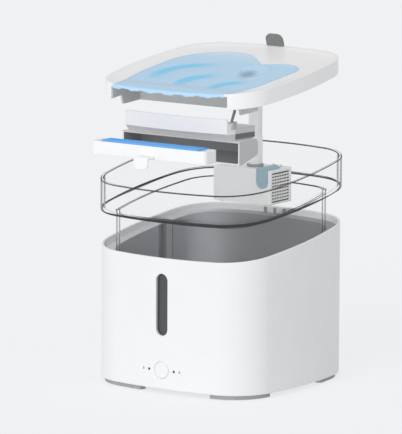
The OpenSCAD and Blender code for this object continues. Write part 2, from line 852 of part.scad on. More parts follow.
// Arm that holds the housing to the riser tube
module housing_arm() color("white") on_tray() {
  half = 4;
  z0 = mouth_z0 + 9.8;
  difference() {
    union() {
      box(riser_x - half, riser_x + half, housing_y1 + joint_gap, pump_y - 2, z0, z0 + 2.6);
      box(riser_x - 14, riser_x + 14, housing_y1 + joint_gap, housing_y1 + 2.4, z0, z0 + 5);
    }
    rod(riser_r + joint_gap, 0, FAR, riser_x, pump_y);
  }
}

module in_cassette() {
  on_tray() translate([0, -cassette_out, 0]) children();
}

module filter_cassette() color("white") in_cassette() {
  half = cassette_w / 2;
  y0 = housing_y0 - 0.4;
  y1 = y0 + cassette_d;
  w = cassette_wall;
  difference() {
    round_plate(-half, half, y0, y1, cassette_z0, cassette_z0 + cassette_h, cassette_round);
    box(-half + cassette_end, half - cassette_end, y0 + w, y1 - w, cassette_z0 + 1.6, FAR);
    for (x = [-48:12:48]) box(x - 4, x + 4, y0 + 4, y1 - 4, 0, FAR);
    box(-tongue_w / 2 - joint_gap, tongue_w / 2 + joint_gap, y0 - 1, y0 + 1.1, 0, cassette_z0 + 3);
  }
}

module filter_sponge() color("cornflowerblue") in_cassette() {
  half = cassette_w / 2 - cassette_end - seat_gap;
  y0 = housing_y0 - 0.4 + cassette_wall + seat_gap;
  y1 = y0 + cassette_d - 2 * (cassette_wall + seat_gap);
  box(-half, half, y0, y1, cassette_z0 + 1.6 + seat_gap, sponge_z1);
}

// Tongue under the cassette's front, to pull it out by
module pull_tongue() color("white") in_cassette() {
  y0 = housing_y0 - 0.4;
  t = 1.8;
  corner = 5;
  drop = 10.5;
  z1 = cassette_z0 + 2.6;
  union() {
    box(-tongue_w / 2, tongue_w / 2, y0 - tongue_len, y0 + 1, z1 - t, z1);
    translate([0, y0 - tongue_len + t, z1 - drop]) rotate([90, 0, 0]) linear_extrude(t) union() {
      translate([-tongue_w / 2, corner]) square([tongue_w, drop - corner]);
      translate([-tongue_w / 2 + corner, 0]) square([tongue_w - 2 * corner, drop]);
      for (x = [-tongue_w / 2 + corner, tongue_w / 2 - corner]) translate([x, corner]) circle(r = corner);
    }
  }
}

/* ---- pump ---- */

module riser_tube() color("gainsboro") on_tray() {
  difference() {
    union() {
      rod(riser_r, riser_z0, riser_z1, riser_x, pump_y);
      for (s = [-1, 1]) translate([riser_x + s * (riser_r + 0.3), pump_y, 0])
        box(-0.9, 0.9, -0.8, 0.8, pump_z1 + 4, mouth_z0 + 9.8);
    }
    rod(riser_r - riser_wall, riser_z0 - 1, riser_z1 + 1, riser_x, pump_y);
  }
}

module riser_seal() color("dimgray") on_tray() {
  difference() {
    rod(riser_r + 1.4, pump_z1 + joint_gap, pump_z1 + 2.8, riser_x, pump_y);
    rod(riser_r + joint_gap, 0, FAR, riser_x, pump_y);
  }
}

module pump_cover() color("gainsboro") on_tray() {
  x0 = pump_x - pump_w / 2;
  x1 = pump_x + pump_w / 2;
  y0 = pump_y - pump_d / 2;
  y1 = pump_y + pump_d / 2;
  pitch = (pump_h - 3) / louvres;
  difference() {
    union() {
      round_plate(x0, x1, y0, y1, pump_z0 + plate_t + joint_gap, pump_z1, pump_round);
      for (x = [latch_x - 4, latch_x + 4])
        box(x - 1, x + 1, latch_axis_y() - 2, latch_axis_y() + 2, pump_z1 - 0.5, latch_axis_z() + 1.6);
    }
    round_plate(x0 + pump_wall, x1 - pump_wall, y0 + pump_wall, y1 - pump_wall,
                0, pump_z1 - pump_wall, pump_round - 1);
    rod(riser_r + joint_gap, 0, FAR, riser_x, pump_y);
    for (i = [0:louvres - 1])
      box(x0 - 1, x1 + 1, y0 + 3.4, y1 - 3.4, pump_z1 - 2.6 - (i + 0.56) * pitch,
          pump_z1 - 2.6 - i * pitch);
    translate([latch_x, latch_axis_y(), latch_axis_z()]) rotate([0, 90, 0])
      cylinder(r = 0.7, h = 30, center = true);
  }
}

function latch_axis_y() = pump_y + 4;
function latch_axis_z() = pump_z1 + 1.6;

// Fine screens behind the louvres
module intake_screen() color("dimgray") on_tray() {
  half = pump_w / 2 - pump_wall - joint_gap;
  for (s = [-1, 1]) difference() {
    box(pump_x + (s < 0 ? -half : half - 1), pump_x + (s < 0 ? -half + 1 : half),
        pump_y - pump_d / 2 + 3.6, pump_y + pump_d / 2 - 3.6, pump_z0 + plate_t + joint_gap, pump_z1 - 2.2);
    for (y = [-12:4:12]) box(pump_x - half - 1, pump_x + half + 1, pump_y + y - 1.4, pump_y + y + 1.4,
      pump_z0 + 4, pump_z1 - 5);
  }
}

module pump_plate() color("gray") on_tray() {
  half = pump_w / 2;
  difference() {
    round_plate(pump_x - half, pump_x + half, pump_y - pump_d / 2, pump_y + pump_d / 2,
                pump_z0, pump_z0 + plate_t, pump_round);
    for (x = [-half + 7, half - 7], y = [-pump_d / 2 + 7, pump_d / 2 - 7])
      rod(2, 0, pump_z0 + 0.8, pump_x + x, pump_y + y);
  }
}

// Chamber round the impeller, open to the intake on both sides
module pump_volute() color("gray") on_tray() {
  z0 = pump_z0 + plate_t + joint_gap;
  difference() {
    rod(volute_r, z0, z0 + volute_h, riser_x, pump_y);
    rod(volute_r - 1.6, z0 + 2, z0 + volute_h - 1.6, riser_x, pump_y);
    rod(bush_r + joint_gap, 0, z0 + 3, riser_x, pump_y);
    rod(riser_r - riser_wall, z0 + 3, FAR, riser_x, pump_y);
    box(riser_x - volute_r - 1, riser_x + volute_r + 1, pump_y - 5, pump_y + 5, z0 + 3, z0 + 7);
  }
  difference() {
    rod(riser_r - 0.1, z0 + volute_h - 1, riser_z0 - joint_gap, riser_x, pump_y);
    rod(riser_r - riser_wall, 0, FAR, riser_x, pump_y);
  }
  difference() {
    union() {
      rod(bush_r + 1.4, z0 + volute_h - 3.6, z0 + volute_h - 1, riser_x, pump_y);
      box(riser_x - riser_r, riser_x + riser_r, pump_y - 1, pump_y + 1,
          z0 + volute_h - 3.6, z0 + volute_h - 1);
    }
    rod(bush_r + joint_gap, 0, FAR, riser_x, pump_y);
  }
}

// Lower and upper bearing bushes of the impeller's shaft
module pump_bushes() color("white") on_tray() {
  z0 = pump_z0 + plate_t + joint_gap;
  for (z = [z0, z0 + volute_h - 3.6]) difference() {
    rod(bush_r, z, z + bush_h, riser_x, pump_y);
    rod(shaft_r + running_gap, z - 1, z + bush_h + 1, riser_x, pump_y);
  }
}

module impeller() color("whitesmoke") on_tray() {
  r = impeller_d / 2;
  z0 = impeller_z + 3.4;
  difference() {
    union() {
      rod(3.4, z0, z0 + 4.4, riser_x, pump_y);
      rod(r, z0, z0 + 1, riser_x, pump_y);
      translate([riser_x, pump_y, 0]) for (a = [0:60:300])
        rotate(a) box(2.5, r - 0.2, -0.5, 0.5, z0 + 0.5, z0 + 4.4);
    }
    rod(shaft_r, 0, FAR, riser_x, pump_y);
  }
}

module rotor_magnet() color("black") on_tray() {
  difference() {
    rod(10, impeller_z, impeller_z + 3.4, riser_x, pump_y);
    rod(shaft_r, 0, FAR, riser_x, pump_y);
  }
}

module impeller_shaft() color("silver") on_tray() {
  z0 = pump_z0 + plate_t + joint_gap;
  rod(shaft_r, z0 + 0.1, z0 + volute_h - 3.6 + bush_h - 0.1, riser_x, pump_y);
}

module pump_feet() color("dimgray") on_tray() {
  half = pump_w / 2;
  for (x = [-half + 7, half - 7], y = [-pump_d / 2 + 7, pump_d / 2 - 7]) union() {
    rod(4, floor_z + seat_gap, pump_z0 - joint_gap, pump_x + x, pump_y + y);
    rod(1.9, pump_z0 - 0.5, pump_z0 + 0.7, pump_x + x, pump_y + y);
  }
}

// Soft strap that holds the pump cover shut
module cover_latch() color("cadetblue") on_tray() {
  y0 = pump_y - pump_d / 2 - latch_gap;
  z1 = pump_z1 + latch_gap;
  drop = 17;
  r = latch_w / 2;
  difference() {
    union() {
      translate([latch_x, y0, 0]) rotate([90, 0, 0]) linear_extrude(latch_t) union() {
        translate([-r, z1 - drop + r]) square([latch_w, drop - r + latch_t]);
        translate([0, z1 - drop + r]) circle(r = r);
      }
      box(latch_x - r, latch_x + r, y0 - latch_t, latch_axis_y() - 3, z1, z1 + latch_t);
      box(latch_x - 2.7, latch_x + 2.7, latch_axis_y() - 4, latch_axis_y(), z1, z1 + latch_t);
      translate([latch_x, latch_axis_y(), latch_axis_z()]) rotate([0, 90, 0])
        cylinder(r = 1.6 - latch_gap, h = 5.4, center = true);
    }
    translate([latch_x, latch_axis_y(), latch_axis_z()]) rotate([0, 90, 0])
      cylinder(r = 0.7 + running_gap, h = 30, center = true);
  }
}

module latch_pin() color("silver") on_tray() {
  translate([latch_x - 5.5, latch_axis_y(), latch_axis_z()]) rotate([0, 90, 0]) cylinder(r = 0.7, h = 11);
}

outer_shell();
inner_pocket();
bottom_cover();
rubber_feet();
cover_screws();
window_bezel();
level_window();
power_button();
touch_switch();
control_board();
board_screws();
lamp_pipes();
power_socket();
drive_coil();
coil_core();
water_tank();
channel_cap();
level_float();
drinking_tray();
pull_tab();
outlet_duct();
flow_hood();
hopper();
hopper_stay();
hopper_clip();
filter_housing();
housing_arm();
filter_cassette();
filter_sponge();
pull_tongue();
riser_tube();
riser_seal();
pump_cover();
intake_screen();
pump_plate();
pump_volute();
pump_bushes();
impeller();
rotor_magnet();
impeller_shaft();
pump_feet();
cover_latch();
latch_pin();
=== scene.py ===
"""Looks of a square pet water fountain that is shown lifted apart.

The solid model gives every piece its place. Here each visible piece gets its
rounded edges and its finish, and the soft and fine pieces are made anew:
the filter sponge, the film of water in the basin and the small signs.
"""

import json
import logging
import math
from dataclasses import dataclass, replace
from enum import Enum
from functools import partialmethod
from typing import Callable, Optional, Sequence, Union

import bmesh
import bpy
from mathutils import Matrix, Vector

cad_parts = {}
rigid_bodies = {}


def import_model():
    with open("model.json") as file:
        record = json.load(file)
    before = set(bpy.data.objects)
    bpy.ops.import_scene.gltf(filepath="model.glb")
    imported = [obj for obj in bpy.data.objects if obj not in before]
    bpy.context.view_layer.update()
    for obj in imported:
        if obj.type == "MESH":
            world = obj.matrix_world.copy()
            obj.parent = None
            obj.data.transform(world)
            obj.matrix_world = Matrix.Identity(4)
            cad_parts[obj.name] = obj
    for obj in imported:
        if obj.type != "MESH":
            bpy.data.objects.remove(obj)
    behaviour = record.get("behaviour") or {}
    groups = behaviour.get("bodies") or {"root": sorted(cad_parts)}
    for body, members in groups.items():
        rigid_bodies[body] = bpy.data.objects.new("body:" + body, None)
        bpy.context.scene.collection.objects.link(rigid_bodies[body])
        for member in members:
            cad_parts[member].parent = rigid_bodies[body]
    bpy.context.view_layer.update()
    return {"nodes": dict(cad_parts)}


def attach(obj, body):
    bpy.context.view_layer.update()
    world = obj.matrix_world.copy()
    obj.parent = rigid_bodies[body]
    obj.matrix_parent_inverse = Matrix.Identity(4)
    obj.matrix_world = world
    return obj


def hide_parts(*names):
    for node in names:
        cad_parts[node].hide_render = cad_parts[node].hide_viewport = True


LOG = logging.getLogger("fountain")
MM = 0.001
SLOPE = math.tan(math.radians(7.1))
TANK_RAISE = 32.0
TRAY_RAISE = 135.0
CASSETTE_OUT = 51.0

Colour = tuple[float, float, float]
Pair = tuple[float, float]
Number = Union["Field", float]
Lobe = tuple[float, float, float, int]


def tone(*parts: int) -> Colour:
    """Turns a colour as seen on a screen, 0 to 255, into the linear light that it reflects."""
    shares = (part / 255 for part in parts)
    return tuple(p / 12.92 if p < 0.04045 else ((p + 0.055) / 1.055) ** 2.4 for p in shares)


def shade(colour: Colour, factor: float, lift: float = 0.0) -> Colour:
    """Multiplies a colour's parts by a factor and adds a lift, up to 1 at most."""
    return tuple(min(1.0, part * factor + lift) for part in colour)


# ---- Shading


class Field:
    """A number that changes over a surface, with arithmetic on it."""

    def __init__(self, tree: "Graph", socket: bpy.types.NodeSocket) -> None:
        """Keeps the graph and the socket that carries the number."""
        self.tree = tree
        self.socket = socket

    def math(self, operation: str, *others: Number) -> "Field":
        """Adds a Math node on this number and others.

        Args:
            operation: The node's operation.
            others: The remaining inputs.

        Returns:
            The node's result.
        """
        made = self.tree.node(
            "ShaderNodeMath", {"operation": operation}, dict(enumerate((self, *others)))
        )
        return Field(self.tree, made.outputs[0])

    # Arithmetic on the number, as one Math node each.
    __add__ = __radd__ = partialmethod(math, "ADD")
    __sub__ = partialmethod(math, "SUBTRACT")
    __mul__ = __rmul__ = partialmethod(math, "MULTIPLY")
    __pow__ = partialmethod(math, "POWER")
    __abs__ = partialmethod(math, "ABSOLUTE")
    top = partialmethod(math, "MAXIMUM")

    def __rsub__(self, other: float) -> "Field":
        """Difference from a plain number."""
        return (self * -1.0) + other

    def step(self, low: float, high: float) -> "Field":
        """Rises smoothly from 0 at low to 1 at high.

        Args:
            low: Where the rise starts.
            high: Where it ends.

        Returns:
            A number from 0 to 1.
        """
        made = self.tree.node(
            "ShaderNodeMapRange",
            {"interpolation_type": "SMOOTHSTEP"},
            {"Value": self, "From Min": low, "From Max": high},
        )
        return Field(self.tree, made.outputs["Result"])

    def band(self, middle: float, half: float, soft: float) -> "Field":
        """1 within half of middle, and 0 further than soft beyond that."""
        return 1 - abs(self - middle).step(half, half + soft)


class Graph:
    """The nodes of a material or of the sky."""

    def __init__(self, owner: Union[bpy.types.Material, bpy.types.World]) -> None:
        """Switches the owner's nodes on.

        Args:
            owner: What the nodes belong to.
        """
        owner.use_nodes = True
        self.nodes = owner.node_tree.nodes
        self.links = owner.node_tree.links

    def node(self, kind: str, settings: dict, inputs: dict) -> bpy.types.Node:
        """Adds one node.

        Args:
            kind: The node's type.
            settings: Its settings, which are set first.
            inputs: Values or links of its sockets, by name or number.

        Returns:
            The node.
        """
        made = self.nodes.new(kind)
        for key, value in settings.items():
            setattr(made, key, value)
        for key, value in inputs.items():
            if isinstance(value, Field):
                value = value.socket
            if isinstance(value, bpy.types.NodeSocket):
                self.links.new(value, made.inputs[key])
            else:
                made.inputs[key].default_value = value
        return made

    def mix(self, share: Number, low: object, high: object) -> bpy.types.NodeSocket:
        """Mixes two colours.

        Args:
            share: 0 gives low and 1 gives high.
            low: A colour or the socket of one.
            high: A colour or the socket of one.

        Returns:
            The socket of the mixed colour.
        """
        colours = {
            key: value if isinstance(value, bpy.types.NodeSocket) else (*value, 1.0)
            for key, value in ((6, low), (7, high))
        }
        return self.node("ShaderNodeMix", {"data_type": "RGBA"}, {0: share, **colours}).outputs[2]

    def seen(self, first: str, *others: str) -> Field:
        """Tells rays of some kinds from the others.

        Args:
            first: A kind of ray, such as Camera.
            others: More kinds.

        Returns:
            1 for these rays and 0 for others.
        """
        path = self.node("ShaderNodeLightPath", {}, {}).outputs
        found = Field(self, path[f"Is {first} Ray"])
        for kind in others:
            found = found.top(Field(self, path[f"Is {kind} Ray"]))
        return found


class Tree(Graph):
    """The nodes of one finish."""

    def __init__(self, name: str) -> None:
        """Starts an empty material with the name of its finish.

        Args:
            name: The finish's name.
        """
        self.material = bpy.data.materials.new(f"finish_{name}")
        super().__init__(self.material)
        self.nodes.clear()
        self.end = self.nodes.new("ShaderNodeOutputMaterial")
        self.place = self.nodes.new("ShaderNodeTexCoord").outputs["Object"]

    def split(self, vector: bpy.types.NodeSocket) -> tuple[Field, Field, Field]:
        """The three parts of a vector."""
        parts = self.node("ShaderNodeSeparateXYZ", {}, {0: vector}).outputs
        return tuple(Field(self, part) for part in parts)

    def axes(self) -> tuple[Field, Field, Field]:
        """The place on the piece in millimetres, as x, y and z."""
        return tuple(part * (1 / MM) for part in self.split(self.place))

    def normals(self) -> tuple[Field, Field, Field]:
        """The way that the surface faces, as x, y and z from -1 to 1."""
        return self.split(self.node("ShaderNodeNewGeometry", {}, {}).outputs["Normal"])

    def noise(
        self,
        grain_mm: float,
        detail: float = 2.0,
        stretch: Sequence[float] = (1, 1, 1),
        turn: float = 0.0,
    ) -> Field:
        """Cloudy noise round 0.5.

        Args:
            grain_mm: Size of one cloud.
            detail: How much finer noise is laid over it.
            stretch: Factors on the three axes: below 1 draws the clouds out.
            turn: Angle in radians about the upright axis.

        Returns:
            The noise.
        """
        mapped = {"Vector": self.place, "Scale": stretch, "Rotation": (0, 0, turn)}
        at = self.node("ShaderNodeMapping", {}, mapped).outputs[0]
        clouds = {"Vector": at, "Scale": 1 / (grain_mm * MM), "Detail": detail, "Roughness": 0.55}
        return Field(self, self.node("ShaderNodeTexNoise", {}, clouds).outputs[0])

    def cells(self, grain_mm: float) -> Field:
        """Distance from the nearest of many scattered points, for pores.

        Args:
            grain_mm: How far the points lie apart.

        Returns:
            The distance, from 0 at a point.
        """
        points = {"Vector": self.place, "Scale": 1 / (grain_mm * MM), "Randomness": 1.0}
        made = self.node("ShaderNodeTexVoronoi", {}, points)
        return Field(self, made.outputs["Distance"])

    def relief(self, height: Field, depth_mm: float, strength: float = 1.0) -> bpy.types.NodeSocket:
        """Turns a height from 0 to 1 into a surface relief of that depth."""
        bump = {"Height": height, "Distance": depth_mm * MM, "Strength": strength}
        return self.node("ShaderNodeBump", {}, bump).outputs[0]

    def shine(self, **inputs: object) -> bpy.types.Material:
        """Ends the tree in a Principled surface.

        Args:
            inputs: Its sockets by name, with _ for a space.

        Returns:
            The finished material.
        """
        named = {key.replace("_", " "): value for key, value in inputs.items()}
        for key, value in named.items():
            if isinstance(value, tuple) and len(value) == 3:
                named[key] = (*value, 1.0)
        made = self.node("ShaderNodeBsdfPrincipled", {}, named)
        self.links.new(made.outputs[0], self.end.inputs[0])
        return self.material


@dataclass(frozen=True)
class Moulded:
    """Injection moulded plastic: faint flow clouds and a fine spark-eroded grain."""

    name: str
    colour: Colour
    roughness: float = 0.38
    grain_mm: float = 0.5
    depth_mm: float = 0.012
    coat: float = 0.0
    cloud_mm: float = 38.0
    cloud: float = 0.016

    def material(self) -> bpy.types.Material:
        """Makes the finish.

        Returns:
            The material.
        """
        tree = Tree(self.name)
        clouds = tree.noise(self.cloud_mm, 3.0)
        grain = tree.noise(self.grain_mm, 1.0)
        darker = shade(self.colour, 1 - self.cloud)
        return tree.shine(
            Base_Color=tree.mix(clouds.step(0.3, 0.7), darker, self.colour),
            Roughness=clouds * 0.08 + grain * 0.06 + (self.roughness - 0.07),
            Normal=tree.relief(grain, self.depth_mm),
            Coat_Weight=self.coat,
            Coat_Roughness=0.12,
        )


@dataclass(frozen=True)
class SoftRubber:
    """Matt silicone with a dusty bloom in cloudy patches."""

    name: str
    colour: Colour
    roughness: float = 0.62
    bloom_mm: float = 5.0
    grain_mm: float = 0.35

    def material(self) -> bpy.types.Material:
        """Makes the finish.

        Returns:
            The material.
        """
        tree = Tree(self.name)
        bloom = tree.noise(self.bloom_mm, 4.0)
        grain = tree.noise(self.grain_mm, 1.0)
        dusty = shade(self.colour, 1.12, 0.01)
        return tree.shine(
            Base_Color=tree.mix(bloom.step(0.4, 0.75), self.colour, dusty),
            Roughness=bloom * 0.14 + (self.roughness - 0.07),
            Normal=tree.relief(grain, 0.02),
        )


@dataclass(frozen=True)
class PocketPlastic:
    """Dark matt liner with painted light: paler on its left, where light falls in."""

    name: str
    wall: Colour
    ledge: Colour
    ledge_z: float = 130.4
    paler: float = 2.2
    painted_light_end: float = -84.0
    painted_light_start: float = -30.0
    cloud_mm: float = 30.0
    grain_mm: float = 0.6

    def material(self) -> bpy.types.Material:
        """Makes the finish.

        Returns:
            The material.
        """
        tree = Tree(self.name)
        x, y, z = tree.axes()
        clouds = tree.noise(self.cloud_mm, 3.0)
        on_top = (z - y * SLOPE).step(self.ledge_z - 0.4, self.ledge_z)
        # Painted light: the left part mixes towards paler copies of both colours; clouds add a
        # random tone.
        left = clouds * 0.2 + (1 - x.step(self.painted_light_end, self.painted_light_start))
        ledge = tree.mix(left, self.ledge, shade(self.ledge, self.paler))
        wall = tree.mix(left, self.wall, shade(self.wall, self.paler))
        grain = tree.noise(self.grain_mm, 1.0)
        return tree.shine(
            Base_Color=tree.mix(on_top, wall, ledge),
            Roughness=clouds * 0.1 + 0.42,
            Normal=tree.relief(grain, 0.015),
        )


@dataclass(frozen=True)
class HousingPlastic:
    """Pale housing with a hollow in painted shade and a brow of its own tone over its mouth.

    The hollow is painted darker as shade in the recess, and the ends as shade on that side.
    The hollow is bounded by half its width and by its front, rear, floor and
    roof, in millimetres.
    """

    name: str
    outside: Colour
    inside: Colour
    floor: Colour
    brow: Colour
    half: float
    front: float
    rear: float
    low: float
    high: float
    painted_end_shade: float = 0.72
    cloud_mm: float = 30.0
    grain_mm: float = 0.5

    def material(self) -> bpy.types.Material:
        """Makes the finish.

        Returns:
            The material.
        """
        tree = Tree(self.name)
        x, y, z = tree.axes()
        across = 1 - abs(x).step(self.half - 0.1, self.half + 0.4)
        behind = y.step(self.front + 0.1, self.front + 0.5)
        along = behind * (1 - y.step(self.rear, self.rear + 0.4))
        within = z.step(self.low - 0.3, self.low) * (1 - z.step(self.high, self.high + 0.3))
        clouds = tree.noise(self.cloud_mm, 3.0)
        # Painted shade: the hollow's walls and floor get darker colours than the outside.
        dark = tree.mix(z.step(self.low + 0.3, self.low + 1.5), self.floor, self.inside)
        over = (1 - behind) * z.step(self.high - 0.2, self.high)
        # Painted shade: the faces at the ends get a darker copy of the outside colour.
        ends = abs(tree.normals()[0]).step(0.6, 0.9)
        shell = tree.mix(ends, self.outside, shade(self.outside, self.painted_end_shade))
        pale = tree.mix(over, shell, self.brow)
        grain = tree.noise(self.grain_mm, 1.0)
        return tree.shine(
            Base_Color=tree.mix(across * along * within, pale, dark),
            Roughness=clouds * 0.08 + 0.34,
            Normal=tree.relief(grain, 0.012),
        )


@dataclass(frozen=True)
class ClearPlastic:
    """Clear moulded wall, painted darker and less clear where seen edge on, as painted shade."""

    name: str
    glass: Colour
    edge: Colour
    body: float = 0.015
    turn: float = 0.64
    painted_edge_shade: float = 0.9
    haze_mm: float = 24.0
    flange_z: float = -100.0
    flange_reach: float = 91.5
    painted_line_rise: float = 2.4
    painted_line_way: Pair = (0.57, -0.82)

    def material(self) -> bpy.types.Material:
        """Makes the finish.

        Returns:
            The material.
        """
        tree = Tree(self.name)
        facing = tree.node("ShaderNodeLayerWeight", {}, {"Blend": 0.5}).outputs["Facing"]
        _, _, upward = tree.normals()
        # Painted shade: edge-on faces get the edge colour and more opacity, for light bent in the
        # wall.
        edge_on = Field(tree, facing).step(self.turn, self.turn + 0.2)
        side = edge_on * (1 - abs(upward).step(0.3, 0.6))
        # Painted shade line along the collar's foot, in the edge colour.
        painted_foot_line = self.painted_foot_line(tree)
        clouds = tree.noise(self.haze_mm, 2.0)
        return tree.shine(
            Base_Color=tree.mix(side.top(painted_foot_line), self.glass, self.edge),
            Roughness=clouds * 0.04 + 0.05,
            Alpha=(side * self.painted_edge_shade).top(painted_foot_line * 0.95) + clouds * 0.01 + self.body,
            Normal=tree.relief(clouds, 0.05),
            IOR=1.49,
        )

    def painted_foot_line(self, tree: Tree) -> Field:
        """Picks a painted shade line at the collar's foot, for light bent there; taller to one
        side.

        Args:
            tree: The nodes of the finish.

        Returns:
            1 on the line and 0 elsewhere.
        """
        x, y, z = tree.axes()
        height = z - y * SLOPE - self.flange_z
        reach = ((x * x) ** 2.0 + (y * y) ** 2.0) ** 0.25
        near = (x * self.painted_line_way[0] + y * self.painted_line_way[1]).step(-10.0, 80.0)
        over = height - near * self.painted_line_rise
        band = (height + 0.2).step(0.0, 0.2) * (1 - over.step(0.4, 0.9))
        return band * reach.step(self.flange_reach, self.flange_reach + 1.0)


@dataclass(frozen=True)
class OpenFoam:
    """Open-cell filter foam with pores of several sizes, painted darker in them as shade."""

    name: str
    colour: Colour
    painted_pore_shade: Colour
    wide_mm: float = 1.6
    fine_mm: float = 0.7
    cloud_mm: float = 9.0

    def material(self) -> bpy.types.Material:
        """Makes the finish.

        Returns:
            The material.
        """
        tree = Tree(self.name)
        wide = tree.cells(self.wide_mm).step(0.05, 0.5)
        fine = tree.cells(self.fine_mm).step(0.1, 0.55)
        clouds = tree.noise(self.cloud_mm, 3.0)
        skin = wide * 0.6 + fine * 0.4
        body = tree.mix(clouds, shade(self.colour, 0.88), self.colour)
        return tree.shine(
            # Painted shade: the pores get the darker colour.
            Base_Color=tree.mix(skin.step(0.1, 0.65), self.painted_pore_shade, body),
            Roughness=clouds * 0.1 + 0.85,
            Normal=tree.relief(skin, 0.5, 0.7),
            Sheen_Weight=0.04,
            Sheen_Roughness=0.5,
            Specular_IOR_Level=0.2,
        )


@dataclass(frozen=True)
class DrawnSteel:
    """Stainless steel with fine drawing lines along one axis."""

    name: str
    colour: Colour
    line_mm: float = 0.25
    along: tuple[float, float, float] = (1, 1, 0.05)

    def material(self) -> bpy.types.Material:
        """Makes the finish.

        Returns:
            The material.
        """
        tree = Tree(self.name)
        lines = tree.noise(self.line_mm, 2.0, self.along)
        return tree.shine(
            Base_Color=tree.mix(lines, shade(self.colour, 0.85), self.colour),
            Metallic=1.0,
            Roughness=lines * 0.18 + 0.22,
            Normal=tree.relief(lines, 0.01),
        )


@dataclass(frozen=True)
class WoundWire:
    """Enamelled wire in close turns, with painted shade between the turns."""

    name: str
    colour: Colour
    pitch_mm: float = 0.5

    def material(self) -> bpy.types.Material:
        """Makes the finish.

        Returns:
            The material.
        """
        tree = Tree(self.name)
        _, _, z = tree.axes()
        turns = (z * (2 * math.pi / self.pitch_mm)).math("SINE") * 0.5 + 0.5
        return tree.shine(
            # Painted shade: the troughs between turns get a much darker copy of the colour.
            Base_Color=tree.mix(turns, shade(self.colour, 0.4), self.colour),
            Metallic=0.7,
            Roughness=turns * 0.1 + 0.3,
            Normal=tree.relief(turns, 0.15),
        )


@dataclass(frozen=True)
class PaintedHighlight:
    """Painted highlight on running water: part of a ring in plan, in millimetres and degrees."""

    x: float
    y: float
    radius: float
    half: float
    start: float
    end: float
    sway: float = 7.0

    def strength(self, x: Field, y: Field, sway: Field) -> Field:
        """How strong the painted highlight is.

        Args:
            x: Place across the tray.
            y: Place along the tray.
            sway: Noise round 0.5 that bends the painted highlight.

        Returns:
            0 away from the painted highlight and 1 on it.
        """
        across, along = x - self.x, y - self.y
        reach = (across * across + along * along) ** 0.5 + (sway - 0.5) * self.sway
        turn = along.math("ARCTAN2", across) * (180 / math.pi)
        turn = turn + (1 - turn.step(-90.01, -90.0)) * 360.0
        middle, half = (self.start + self.end) / 2, (self.end - self.start) / 2
        ring = reach.band(self.radius, self.half * 0.3, self.half)
        return ring * turn.band(middle, half * 0.3, half * 0.8)


@dataclass(frozen=True)
class RunningWater:
    """Film of running water with painted highlights, and painted shade over the well that feeds it.
    """

    name: str
    colour: Colour
    painted_highlight: Colour
    painted_well_shade: Colour
    well: Pair
    painted_highlights: tuple[PaintedHighlight, ...]
    alpha: float = 0.86
    ripple_mm: float = 14.0
    sway_mm: float = 22.0
    lean: float = 0.28
    squash: Pair = (0.36, 0.2)
    well_mm: float = 12.0
    pale_y: Pair = (20.0, 75.0)

    def material(self) -> bpy.types.Material:
        """Makes the finish.

        Returns:
            The material.
        """
        tree = Tree(self.name)
        x, y, _ = tree.axes()
        ripples = tree.noise(self.ripple_mm, 2.0, (1.0, 0.6, 1.0), 0.5)
        sway = tree.noise(self.sway_mm, 1.0)
        bright = x * 0.0
        # Painted highlights: the film turns to the highlight colour along rings, and a little more
        # opaque.
        for painted_highlight in self.painted_highlights:
            bright = bright.top(painted_highlight.strength(x, y, sway))
        # Painted shade: the water over the well is mixed towards a darker colour.
        painted_well_shade = 1 - self.from_well(x, y).step(1.5, self.well_mm)
        paler = shade(self.colour, 0.6, 0.4)
        body = tree.mix(painted_well_shade, tree.mix(y.step(*self.pale_y), self.colour, paler), self.painted_well_shade)
        return tree.shine(
            Base_Color=tree.mix(bright, body, self.painted_highlight),
            Roughness=ripples * 0.06 + 0.12,
            Alpha=bright * 0.08 + self.alpha,
            Normal=tree.relief(ripples, 0.25, 0.5),
            IOR=1.33,
        )

    def from_well(self, x: Field, y: Field) -> Field:
        """Distance from the well, whose outline leans and is shorter at its rear.

        Args:
            x: Place across the tray.
            y: Place along the tray.

        Returns:
            The distance in millimetres.
        """
        along = y - self.well[1]
        across = x - self.well[0] + along * self.lean
        rear, front = self.squash
        behind = along.top(0.0) * along * (rear - front)
        return (across * across + behind + along * along * front) ** 0.5


